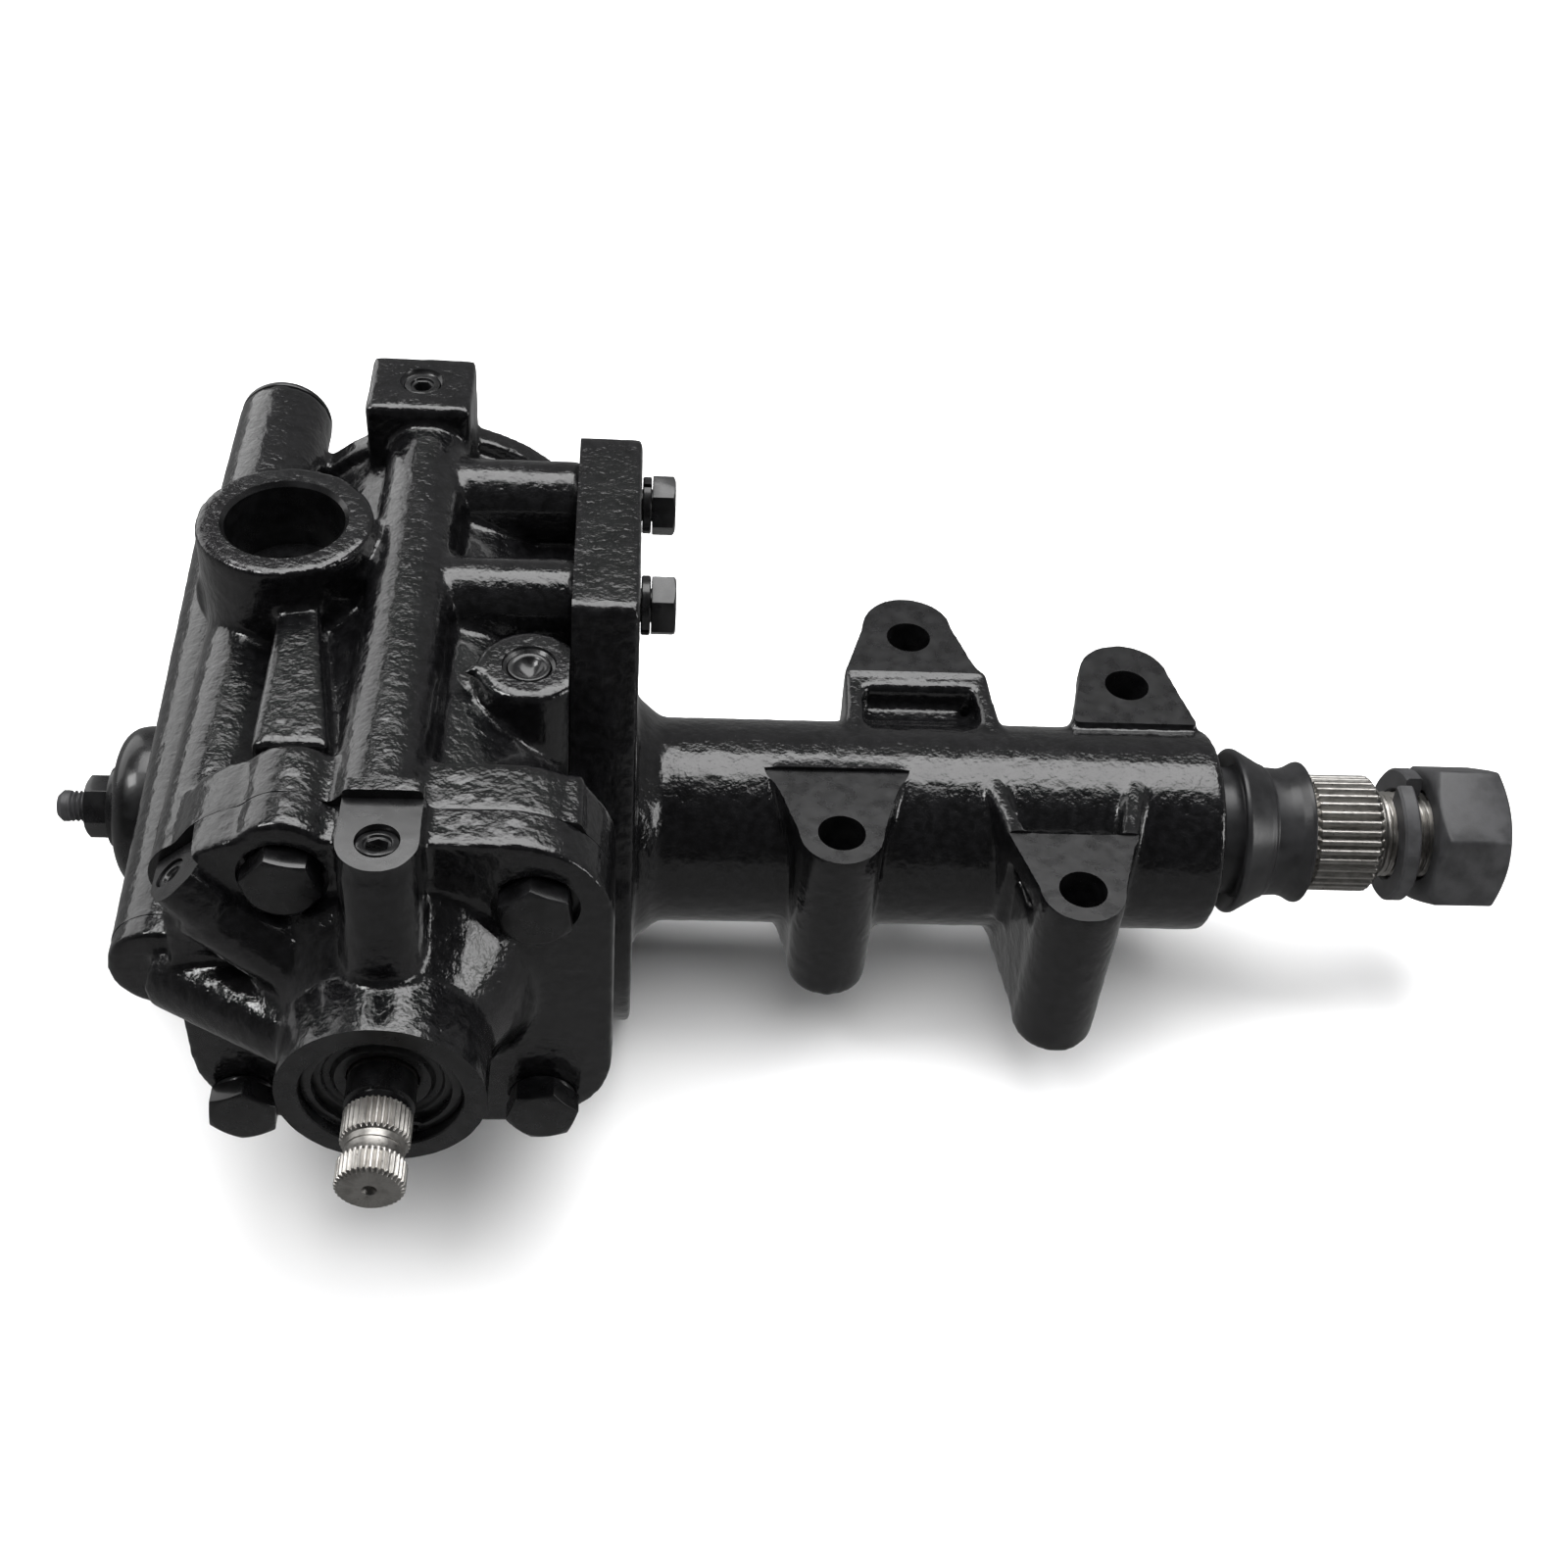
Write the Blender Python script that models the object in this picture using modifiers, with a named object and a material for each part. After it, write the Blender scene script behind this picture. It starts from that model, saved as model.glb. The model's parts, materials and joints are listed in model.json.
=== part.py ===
"""Power-steering gearbox: a worm drives a ball nut, whose rack turns a sector shaft.

Every number is in millimetres, and the helpers turn them into metres. While the parts are
made, the sector shaft's axis is the X axis and the worm's axis runs along Y above it. At the
end one empty moves the whole gearbox so that it stands on z = 0, centred on the origin.
"""

from math import atan, cos, pi, radians, sin, sqrt, tan

import bmesh
import bpy
from mathutils import Matrix, Vector

MM = 0.001

# Driving dimensions
WORM_Z = 44.0  # worm axis above sector axis
GAP = 0.3  # between pieces that touch
SECTOR_PITCH_R = 22.0
SECTOR_TEETH = 12  # of a full circle
WORM_LEAD = 8.6
BALL_R = 3.0
BALL_CIRCLE_R = 12.0
PISTON_R = 37.7
BORE_R = 38.5
JOINT_Y = -94.0  # valve housing meets gear housing
JOINT_X = 43.5  # sector housing meets gear housing
REAR_Y = 79.0
TUBE_R = 32.3
TUBE_END_X = 246.0
SHAFT_END_Y = -172.0
LUG_FACE_Z = 30.5
LUG_HOLE_R = 7.2
PORT = (-38.2, 10.9)
PORT_FACE_Z = 106.0
BASE_Z = -60.0  # flat underside of the castings

ROUND, FINE = 20, 32  # sides of small and of large round shapes

MATERIALS = {
    "black_paint": ((0.012, 0.012, 0.013), 0.28, 0.0),
    "bare_steel": ((0.55, 0.54, 0.52), 0.35, 1.0),
    "dark_steel": ((0.035, 0.035, 0.038), 0.45, 0.8),
    "bearing_steel": ((0.62, 0.62, 0.63), 0.22, 1.0),
    "rubber": ((0.01, 0.01, 0.011), 0.55, 0.0),
    "bronze": ((0.45, 0.28, 0.12), 0.4, 1.0),
}


# Scene and materials


def clear_scene():
    for obj in list(bpy.data.objects):
        bpy.data.objects.remove(obj, do_unlink=True)


def new_collection(name):
    group = bpy.data.collections.new(name)
    bpy.context.scene.collection.children.link(group)
    return group


def make_material(name, colour, roughness, metallic):
    material = bpy.data.materials.new(name)
    material.use_nodes = True
    shader = material.node_tree.nodes["Principled BSDF"]
    shader.inputs["Base Color"].default_value = (*colour, 1.0)
    shader.inputs["Roughness"].default_value = roughness
    shader.inputs["Metallic"].default_value = metallic
    return material


# Mesh helpers


def new_object(name, mesh, group=None):
    obj = bpy.data.objects.new(name, mesh)
    (group or HELPERS).objects.link(obj)
    return obj


def frozen(obj):
    """The object as its modifiers leave it, as a plain mesh object with welded points."""
    bpy.context.view_layer.update()
    graph = bpy.context.evaluated_depsgraph_get()
    mesh = bpy.data.meshes.new_from_object(obj.evaluated_get(graph))
    work = bmesh.new()
    work.from_mesh(mesh)
    bmesh.ops.remove_doubles(work, verts=work.verts, dist=1e-6)
    work.to_mesh(mesh)
    work.free()
    result = new_object("shape", mesh)
    result.matrix_world = obj.matrix_world.copy()
    bpy.data.objects.remove(obj, do_unlink=True)
    return result


def rod(start, end, r, r_end=None, sides=ROUND):
    """A cylinder or cone between two points."""
    a = Vector(start) * MM
    b = Vector(end) * MM
    work = bmesh.new()
    bmesh.ops.create_cone(
        work,
        cap_ends=True,
        segments=sides,
        radius1=r * MM,
        radius2=(r if r_end is None else r_end) * MM,
        depth=(b - a).length,
    )
    turn = Vector((0, 0, 1)).rotation_difference(b - a).to_matrix().to_4x4()
    work.transform(Matrix.Translation((a + b) / 2) @ turn)
    mesh = bpy.data.meshes.new("rod")
    work.to_mesh(mesh)
    work.free()
    return new_object("rod", mesh)


def x_rod(x0, x1, r, y=0.0, z=0.0, r_end=None, sides=ROUND):
    return rod((x0, y, z), (x1, y, z), r, r_end, sides)


def y_rod(y0, y1, r, x=0.0, z=WORM_Z, r_end=None, sides=ROUND):
    return rod((x, y0, z), (x, y1, z), r, r_end, sides)


def z_rod(z0, z1, r, x=0.0, y=0.0, r_end=None, sides=ROUND):
    return rod((x, y, z0), (x, y, z1), r, r_end, sides)


def box(low, high):
    work = bmesh.new()
    bmesh.ops.create_cube(work, size=1.0)
    size = [(b - a) * MM for a, b in zip(low, high)]
    middle = [(a + b) / 2 * MM for a, b in zip(low, high)]
    work.transform(Matrix.Translation(middle) @ Matrix.Diagonal((*size, 1.0)))
    mesh = bpy.data.meshes.new("box")
    work.to_mesh(mesh)
    work.free()
    return new_object("box", mesh)


def plate(outline, thickness, matrix):
    """A flat outline of (x, y) points with this thickness, centred on its plane, then placed."""
    curve = bpy.data.curves.new("outline", "CURVE")
    curve.dimensions = "2D"
    curve.fill_mode = "BOTH"
    curve.extrude = thickness / 2 * MM
    spline = curve.splines.new("POLY")
    spline.points.add(len(outline) - 1)
    for point, (x, y) in zip(spline.points, outline):
        point.co = (x * MM, y * MM, 0.0, 1.0)
    spline.use_cyclic_u = True
    obj = new_object("outline", curve)
    obj.matrix_world = matrix
    return frozen(obj)


def facing_x(x):
    """Places an outline of (y, z) points in the plane at this x."""
    axes = Matrix(((0, 0, 1), (1, 0, 0), (0, 1, 0))).to_4x4()
    return Matrix.Translation((x * MM, 0.0, 0.0)) @ axes


def facing_y(y):
    """Places an outline of (-x, z) points in the plane at this y."""
    axes = Matrix(((-1, 0, 0), (0, 0, 1), (0, 1, 0))).to_4x4()
    return Matrix.Translation((0.0, y * MM, 0.0)) @ axes


def facing_z(z):
    return Matrix.Translation((0.0, 0.0, z * MM))


def facing_along(top, foot):
    """Places an outline across the line from foot to top, at top; its first axis stays level."""
    normal = (Vector(top) - Vector(foot)).normalized()
    level = Vector((0.0, 0.0, 1.0)).cross(normal).normalized()
    axes = Matrix((level, normal.cross(level), normal)).transposed().to_4x4()
    return Matrix.Translation(Vector(top) * MM) @ axes


def arc(centre, r, first, last, steps):
    """Points on an arc from one angle to another, in degrees."""
    cx, cy = centre
    angles = [radians(first + (last - first) * i / steps) for i in range(steps + 1)]
    return [(cx + r * cos(a), cy + r * sin(a)) for a in angles]


def rounded_box_outline(x0, x1, y0, y1, r, steps=5):
    centres = ((x1 - r, y1 - r), (x0 + r, y1 - r), (x0 + r, y0 + r), (x1 - r, y0 + r))
    points = []
    for corner, centre in enumerate(centres):
        points += arc(centre, r, 90 * corner, 90 * corner + 90, steps)
    return points


def turned(profile, axis="Z", sides=ROUND, at=(0.0, 0.0, 0.0)):
    """A turned shape. The profile's (distance along the axis, radius) run down the outer side.

    It is a closed loop unless both its ends lie on the axis.
    """
    mesh = bpy.data.meshes.new("profile")
    points = [(r * MM, 0.0, t * MM) for t, r in profile]
    on_axis = profile[0][1] == 0 and profile[-1][1] == 0
    edges = [(i, i + 1) for i in range(len(points) - 1)]
    if not on_axis:
        edges.append((len(points) - 1, 0))
    mesh.from_pydata(points, edges, [])
    obj = new_object("profile", mesh)
    screw = obj.modifiers.new("turn", "SCREW")
    screw.axis = "Z"
    screw.steps = sides
    screw.render_steps = sides
    screw.use_merge_vertices = True
    screw.merge_threshold = 1e-6
    turns = {
        "X": Matrix.Rotation(pi / 2, 4, "Y"),
        "Y": Matrix.Rotation(-pi / 2, 4, "X"),
        "Z": Matrix(),
    }
    obj.matrix_world = Matrix.Translation(Vector(at) * MM) @ turns[axis]
    return frozen(obj)


def ring(t0, t1, r_in, r_out, axis="Y", at=(0.0, 0.0, WORM_Z), sides=ROUND):
    return turned([(t1, r_out), (t0, r_out), (t0, r_in), (t1, r_in)], axis, sides, at)


def helix_tube(r, tube_r, lead, y0, y1, per_turn=12):
    """A tube wound round the worm axis, used to cut the ball groove."""
    steps = round((y1 - y0) / lead * per_turn)
    curve = bpy.data.curves.new("helix", "CURVE")
    curve.dimensions = "3D"
    curve.bevel_depth = tube_r * MM
    curve.bevel_resolution = 1
    curve.use_fill_caps = True
    spline = curve.splines.new("POLY")
    spline.points.add(steps)
    for i, point in enumerate(spline.points):
        x, y, z = on_helix(r, lead, y0 + (y1 - y0) * i / steps)
        point.co = (x * MM, y * MM, z * MM, 1.0)
    return frozen(new_object("helix", curve))


def on_helix(r, lead, y):
    """The point at this y on the right-handed helix about the worm axis."""
    angle = 2 * pi * y / lead
    return r * sin(angle), y, WORM_Z + r * cos(angle)


def pipe(points, r):
    curve = bpy.data.curves.new("pipe", "CURVE")
    curve.dimensions = "3D"
    curve.bevel_depth = r * MM
    curve.bevel_resolution = 2
    curve.use_fill_caps = True
    spline = curve.splines.new("POLY")
    spline.points.add(len(points) - 1)
    for point, place in zip(spline.points, points):
        point.co = (*(Vector(place) * MM), 1.0)
    return frozen(new_object("pipe", curve))


def combine(base, others, operation):
    if not others:
        return base
    group = bpy.data.collections.new("operands")
    HELPERS.children.link(group)
    for other in others:
        HELPERS.objects.unlink(other)
        group.objects.link(other)
    change = base.modifiers.new(operation.lower(), "BOOLEAN")
    change.operation = operation
    change.operand_type = "COLLECTION"
    change.collection = group
    change.solver = "EXACT"
    result = frozen(base)
    for other in others:
        bpy.data.objects.remove(other, do_unlink=True)
    bpy.data.collections.remove(group)
    return result


def solid(adds, cuts=()):
    """The union of some shapes, with others cut from it."""
    whole = combine(adds[0], list(adds[1:]), "UNION")
    return combine(whole, list(cuts), "DIFFERENCE")


def finish(name, shape, material, parent, sharp=35):
    """Turns a shape into a named piece whose origin is its parent's, on the axis it turns about."""
    placed = Matrix.Translation(-AXES[parent].location) @ shape.matrix_world
    mesh = shape.data
    mesh.transform(placed)
    work = bmesh.new()
    work.from_mesh(mesh)
    bmesh.ops.recalc_face_normals(work, faces=work.faces)
    work.to_mesh(mesh)
    work.free()
    mesh.shade_smooth()
    mesh.set_sharp_from_angle(angle=radians(sharp))
    mesh.materials.clear()
    mesh.materials.append(PAINTS[material])
    piece = new_object(name, mesh, GEARBOX)
    piece.parent = AXES[parent]
    bpy.data.objects.remove(shape, do_unlink=True)
    return piece


def hexagon(axis, t0, t1, flats, at, turn=0.0):
    """A hexagonal prism along X or Y, for bolt heads and nuts."""
    corner_r = flats / 2 / cos(pi / 6)
    angles = [radians(turn) + i * pi / 3 for i in range(6)]
    outline = [(corner_r * cos(a), corner_r * sin(a)) for a in angles]
    facing = {"X": facing_x, "Y": facing_y}[axis]
    return plate(outline, t1 - t0, Matrix.Translation(Vector(at) * MM) @ facing((t0 + t1) / 2))


# Gear housing: the main casting, with the piston bore and the sector chamber

BOLT_PLACES = {  # valve housing bolts: (x, z, y of the head's face)
    1: (-25.3, 84.5, -112.0),
    2: (37.4, 75.0, -112.0),
    3: (-43.9, -5.0, -115.0),
    4: (38.4, -3.5, -115.0),
}
FLANGE_FRONT_Y = -107.0
SUNK_FACE_Y = FLANGE_FRONT_Y + 3  # seat of the two upper bolts
SIDE_BOLTS = {  # sector housing bolts: (y, z, side of the head, +1 right or -1 left)
    1: (46.9, 88.0, 1),
    2: (-0.9, 88.0, 1),
    3: (-49.0, -15.0, -1),
    4: (-24.0, -46.0, -1),
    5: (38.0, -37.0, 1),
}
EAR_RIGHT_X = 62.5
RIM_BOSS = (-40.0, 37.0)  # half-round boss on the rim of the sector flange
CHECK_BOSS = (32.5, -34.7)
CHECK_BOSS_Z = 94.0
RELIEF_VALVE = (-51.0, 80.0)  # (x, z) of the cylinder along the left edge
TOP_BLOCK = (-21.0, 10.5, 61.0, 90.0)  # x and y limits
TOP_BLOCK_Z = 110.0
TOP_PLUG = (-5.0, 76.5)
EAR_TOP_Z = 107.0


def flange_outline():
    """The four-bolt flange round the worm axis, as (-x, z) points."""
    return rounded_box_outline(-57.5, 57.0, -16.0, 97.0, 27.0)


def bolt_holes(y0, y1, r=6.3):
    return [y_rod(y0, y1, r, x, z, sides=12) for x, z, _ in BOLT_PLACES.values()]


def make_gear_housing():
    front = JOINT_Y
    adds = [
        y_rod(front - 3, REAR_Y - 1, 46.5, sides=FINE),
        y_rod(REAR_Y - 9, REAR_Y, 50.5, sides=FINE),
        plate(flange_outline(), 20.0, facing_y(front + 8.0)),
        x_rod(-52, JOINT_X - 1, 40, sides=FINE),
        x_rod(29, JOINT_X + 1, 58, sides=FINE),
        x_rod(-79, -40, 31, r_end=37, sides=FINE),
        box((-50, -36, BASE_Z), (JOINT_X + 1, 36, -20)),
        box((JOINT_X - 13, -27, 40), (JOINT_X + 1, 57, 79)),
        box((5, 5, 60), (JOINT_X, 42, 79)),
        rod((-61.5, front - 4, 41), (-68, 92, 41), 14.5),
        box((-66, -80, 28), (-35, 74, 52)),
        y_rod(front - 5, 20, 12.5, -50, 70),
        box((-60, -85, 45), (-38, 70, 70)),
        y_rod(5, 95, 14.5, *RELIEF_VALVE),
        z_rod(60, PORT_FACE_Z, 25, *PORT, sides=32),
        y_rod(front - 6, 60, 12.5, -2.5, 92),
        box((-14.5, front - 9, 70), (9.5, 60, 92)),
        box((TOP_BLOCK[0], TOP_BLOCK[2], 62), (TOP_BLOCK[1], TOP_BLOCK[3], TOP_BLOCK_Z)),
        x_rod(4, JOINT_X + 1, 12.4, 46.9, 88),
        x_rod(4, JOINT_X + 1, 12.6, -0.9, 88),
        z_rod(50, CHECK_BOSS_Z, 14.6, *CHECK_BOSS),
        plate([(-38, -68), (-17.5, -68), (-28, -4), (-38, -4)], 23.0, facing_z(81.5)),
        y_rod(front - 7, -76, 13.5, -25, 88.5),
        box((10, front - 8, 60), (49, -75.5, 93)),
        x_rod(36, JOINT_X + 1, 11, *RIM_BOSS),
    ]
    cuts = [
        box((-99, front - 30, -60), (99, front, 130)),
        y_rod(front - 35, 71.5, BORE_R, sides=FINE),
        y_rod(71, REAR_Y + 5, 42.3, sides=FINE),
        x_rod(-26, JOINT_X + 5, 30, sides=FINE),
        box((JOINT_X, -68, -70), (JOINT_X + 20, 67, 115)),
        x_rod(-84, -20, 20, sides=32),
        z_rod(84, 120, 16.9, *PORT, sides=32),
        z_rod(74, 90, 11.0, *PORT),
        y_rod(88, 120, 11.5, *RELIEF_VALVE),
        z_rod(TOP_BLOCK_Z - 13, 120, 5.6, *TOP_PLUG),
        z_rod(CHECK_BOSS_Z - 8, 120, 6.2, *CHECK_BOSS),
        *bolt_holes(front - 5, front + 18),
    ]
    for y, z, side in SIDE_BOLTS.values():
        cuts.append(x_rod(18 if side > 0 else 5, JOINT_X + 5, 5.3, y, z, sides=12))
        if side < 0:
            cuts.append(x_rod(2, 26, 11, y, z))
    return finish("gear_housing", solid(adds, cuts), "black_paint", "root")


# Valve housing: the front casting, with the input boss and its drilled passages

TAB_TOP = (0.0, -113.0, 104.5)
TAB_FOOT = (0.0, -122.0, 60.0)
SIDE_PLUG_TOP = (-54.0, -103.0, 81.0)
SIDE_PLUG_FOOT = (-24.0, -108.0, 46.0)
SIDE_PASSAGE_END = (-20.0, -112.0, 55.0)
SIDE_PAD = [(-16.0, -11.0), (-17.5, 5.8), (6.0, 12.0), (11.0, 5.0), (10.5, 0.5), (5.0, -5.0)][::-1]
SIDE_PAD_DEPTH = 12.0


def along(start, end, distance):
    """The point this far from start towards end."""
    a = Vector(start)
    step = (Vector(end) - a).normalized()
    return tuple(a + step * distance)


def make_valve_housing():
    back = JOINT_Y - GAP
    over = back + 2.0  # shapes run past the back face, which is cut flat at the end
    pad_middle = along(SIDE_PLUG_TOP, SIDE_PLUG_FOOT, SIDE_PAD_DEPTH / 2)
    pad_place = facing_along(pad_middle, SIDE_PLUG_FOOT)
    adds = [
        plate(flange_outline(), over - FLANGE_FRONT_Y, facing_y((over + FLANGE_FRONT_Y) / 2)),
        y_rod(-144, -100, 26.7, sides=FINE),
        y_rod(-124, -104, 27.5, r_end=40, sides=FINE),
        rod((-61.5, -101.5, 41), (-61.5, over + 1, 41), 14.5),
        box((-62, -101.2, 27), (-40, over + 2, 55)),
        rod((-60, -100, 40), (-10, -131, 44), 10),
        rod(along(SIDE_PLUG_TOP, SIDE_PLUG_FOOT, 10), SIDE_PASSAGE_END, 10),
        plate(SIDE_PAD, SIDE_PAD_DEPTH, pad_place),
        z_rod(70, TAB_TOP[2], 10.3, TAB_TOP[0], TAB_TOP[1]),
        rod(along(TAB_TOP, TAB_FOOT, 6), TAB_FOOT, 10.3),
        box((-10, TAB_TOP[1], 85), (10, over + 3, TAB_TOP[2])),
        y_rod(FLANGE_FRONT_Y + 0.4, over + 4, 13.5, -25, 88.5),
    ]
    cuts = [
        y_rod(-150, -139.5, 20.6, sides=FINE),
        y_rod(-141, -80, 20, sides=FINE),
        rod(along(TAB_TOP, TAB_FOOT, -5), along(TAB_TOP, TAB_FOOT, 12), 5.6),
        rod(along(SIDE_PLUG_TOP, SIDE_PLUG_FOOT, -5), along(SIDE_PLUG_TOP, SIDE_PLUG_FOOT, 12), 4.6),
        *bolt_holes(-125, -80),
        *[y_rod(-125, SUNK_FACE_Y, 11.5, BOLT_PLACES[n][0], BOLT_PLACES[n][1]) for n in (1, 2)],
        box((-99, back, -50), (99, back + 30, 140)),
    ]
    return finish("valve_housing", solid(adds, cuts), "black_paint", "root")


# Sector housing: the long tube with its flange and four chassis lugs

LUG_TURN = -16.8  # degrees about Z
LUG_STEP = (73.1, 95.2)
LUG_FIRST = (124.2, -34.7)  # near left hole
RIB_THICKNESS = 5.6
LUG_FOOT_Z = -31.0
# For each lug: the y where its pad ends, the pad's half width there, the tip's radius, how far
# the tip stands beyond the hole's centre along y, and the top of the tie to the tube
LUG_SHAPES = (
    (-8.0, 21.0, 13.0, 0.0, 22.0),
    (-33.0, 20.0, 13.0, 0.0, 14.0),
    (38.0, 22.5, 15.0, 5.0, 22.0),
    (17.0, 20.5, 15.0, 5.0, 22.0),
)


def lug_places():
    """The four holes: near left, near right, far left, far right."""
    c, s = cos(radians(LUG_TURN)), sin(radians(LUG_TURN))
    places = []
    for row in (0, 1):
        for column in (0, 1):
            dx, dy = column * LUG_STEP[0], row * LUG_STEP[1]
            places.append((LUG_FIRST[0] + c * dx - s * dy, LUG_FIRST[1] + s * dx + c * dy))
    return places


def lug(x, y, shape):
    """One lug: a round pad on a column, and a tie that widens towards the tube."""
    reach, half_width, tip_r, tip_out, tie_top = shape
    side = 1 if y < reach else -1
    tip = (x, y - side * tip_out)
    rounded = arc(tip, tip_r, 180, 360, 10) if side > 0 else arc(tip, tip_r, 0, 180, 10)
    outline = rounded + [(x + side * half_width, reach), (x - side * half_width, reach)]
    pad = plate(outline, 9.0, facing_z(LUG_FACE_Z - 4.5))
    column = z_rod(LUG_FOOT_Z, LUG_FACE_Z - 1, 12.6, x, y, 13.2)
    web = [(x - 12.4, y), (x + 12.4, y), (x + 20, 0.0), (x - 20, 0.0)]
    foot = LUG_FOOT_Z + 2
    tie = plate(web, tie_top - foot, facing_z((tie_top + foot) / 2))
    return [pad, column, tie]


def rib(start, end, foot_z):
    """An upright rib under a lug's face, between two (x, y) points."""
    a = Vector((*start, 0.0))
    b = Vector((*end, 0.0))
    across = (b - a).cross(Vector((0.0, 0.0, 1.0))).normalized() * RIB_THICKNESS / 2
    outline = [(p.x, p.y) for p in (a + across, b + across, b - across, a - across)]
    top = LUG_FACE_Z - 0.4
    return plate(outline, top - foot_z, facing_z((top + foot_z) / 2))


def ear_outline():
    """The flange as (y, z) points: a disc round the sector axis and a block above it."""
    disc = arc((0.0, 0.0), 64.0, 152, 385, 24)
    block = rounded_box_outline(-27.0, 57.0, 60.0, EAR_TOP_Z, 4.0, 2)
    return disc + [p for p in block if p[1] > 90]


def make_sector_housing():
    left = JOINT_X + GAP
    adds = [
        plate(ear_outline(), EAR_RIGHT_X - left, facing_x((left + EAR_RIGHT_X) / 2)),
        x_rod(left - 9, left + 2, 29.6, sides=FINE),
        x_rod(55, TUBE_END_X, TUBE_R, sides=FINE),
        x_rod(60, 71, 41, r_end=TUBE_R - 0.5, sides=FINE),
        x_rod(left, EAR_RIGHT_X, 11, *RIM_BOSS),
    ]
    places = lug_places()
    for (x, y), shape in zip(places, LUG_SHAPES):
        adds += lug(x, y, shape)
    adds += [
        rib((178.5, -36.0), (171.5, -8.0), -8.0),
        rib((211.5, -36.0), (218.0, -8.0), -8.0),
        rib((132.5, 40.0), (131.0, 4.0), 5.0),
        rib((173.0, 40.0), (176.0, 4.0), 5.0),
        rib((132.0, 34.0), (174.0, 34.0), 2.0),
        box((133, 24, 5), (173, 28, 22)),
    ]
    cuts = [
        box((left - 5, -50, BASE_Z - 20), (EAR_RIGHT_X + 5, 50, BASE_Z)),
        x_rod(left - 20, 90, 23.2, sides=32),
        x_rod(80, TUBE_END_X + 5, 20.5, sides=32),
        x_rod(214, TUBE_END_X + 5, 23.2, sides=32),
        *[z_rod(LUG_FOOT_Z - 10, 60, LUG_HOLE_R, x, y) for x, y in places],
    ]
    for y, z, side in SIDE_BOLTS.values():
        cuts.append(x_rod(left - 5, 70 if side > 0 else 57, 5.3, y, z, sides=12))
    return finish("sector_housing", solid(adds, cuts), "black_paint", "root")


# Covers and plugs


ADJUSTER_TIP_X = -116.0


def make_side_cover():
    """The round cover on the left, whose spigot carries the sector shaft's short journal."""
    profile = [
        (-62.0, 19.6), (-79.3, 19.6), (-79.3, 25.5), (-89.0, 25.5), (-93.5, 23.5), (-95.8, 19.5),
        (-96.0, 13.2), (-99.3, 12.7), (-99.3, 5.3), (-81.0, 5.3), (-81.0, 14.6), (-62.0, 14.6),
    ]
    return finish("side_cover", turned(profile, "X", 24), "black_paint", "root")


def make_adjuster():
    """The backlash screw: its head sits in the sector shaft's slot, and a nut locks it."""
    profile = [
        (-61.0, 0.0), (-61.0, 8.0), (-65.5, 8.0), (-65.5, 4.9), (ADJUSTER_TIP_X + 1.4, 4.9),
        (ADJUSTER_TIP_X, 3.6), (ADJUSTER_TIP_X, 0.0),
    ]
    finish("adjuster_screw", turned(profile, "X"), "dark_steel", "root")
    blank = hexagon("X", -107.0, -99.6, 17.0, (0, 0, 0), 46)
    nut = solid([blank], [x_rod(-110, -90, 5.2)])
    finish("adjuster_lock_nut", nut, "dark_steel", "root")


def make_rear_plug():
    plug = [
        (78.2, 0.0), (78.2, 14.0), (75.5, 14.0), (75.5, 40.0), (74.6, 41.9), (71.8, 41.9), (71.8, 0.0),
    ]
    finish("rear_plug", turned(plug, "Y", FINE, (0.0, 0.0, WORM_Z)), "black_paint", "root")
    finish("rear_retaining_ring", ring(75.9, 77.9, 38.5, 42.0, sides=FINE), "dark_steel", "root")


def socket_plug(name, top, foot, r, socket):
    """A threaded plug with a hexagonal socket, flush with the face that it closes."""
    body = rod(along(top, foot, 0.6), along(top, foot, 10), r)
    hole = rod(along(top, foot, -2), along(top, foot, 6), socket / 2 / cos(pi / 6), sides=6)
    finish(name, solid([body], [hole]), "dark_steel", "root")


def make_plugs():
    socket_plug("top_block_plug", (*TOP_PLUG, TOP_BLOCK_Z), (*TOP_PLUG, 60), 5.3, 5)
    socket_plug("front_tab_plug", TAB_TOP, TAB_FOOT, 5.3, 5)
    socket_plug("side_tab_plug", SIDE_PLUG_TOP, SIDE_PLUG_FOOT, 4.3, 4)
    dish = [(-5.5, 0.0), (-0.6, 4.6), (-0.6, 5.9), (-7.6, 5.9), (-7.6, 0.0)]
    dish = turned(dish, "Z", ROUND, (*CHECK_BOSS, CHECK_BOSS_Z))
    finish("check_valve_plug", dish, "dark_steel", "root")
    seat = [(83.6, 10.6), (78.0, 10.6), (78.0, 4.0), (83.6, 5.5)]
    finish("port_seat", turned(seat, "Z", ROUND, (*PORT, 0.0)), "dark_steel", "root")
    cap = [(98.5, 0.0), (98.5, 12.6), (97.0, 14.2), (95.3, 14.2), (95.3, 11.2), (89.0, 11.2), (89.0, 0.0)]
    cap = turned(cap, "Y", ROUND, (RELIEF_VALVE[0], 0.0, RELIEF_VALVE[1]))
    finish("relief_valve_cap", cap, "black_paint", "root")


# Fasteners

BOLT_FLATS = 18.0


def make_valve_housing_bolts():
    for number, (x, z, face) in BOLT_PLACES.items():
        seat = SUNK_FACE_Y if number < 3 else FLANGE_FRONT_Y
        head = hexagon("Y", face, seat - GAP, BOLT_FLATS, (x, 0, z), 12 * number)
        shank = y_rod(seat - 2, JOINT_Y + 14, 5.9, x, z, sides=12)
        finish(f"valve_housing_bolt_{number}", solid([head, shank]), "black_paint", "root")


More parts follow.
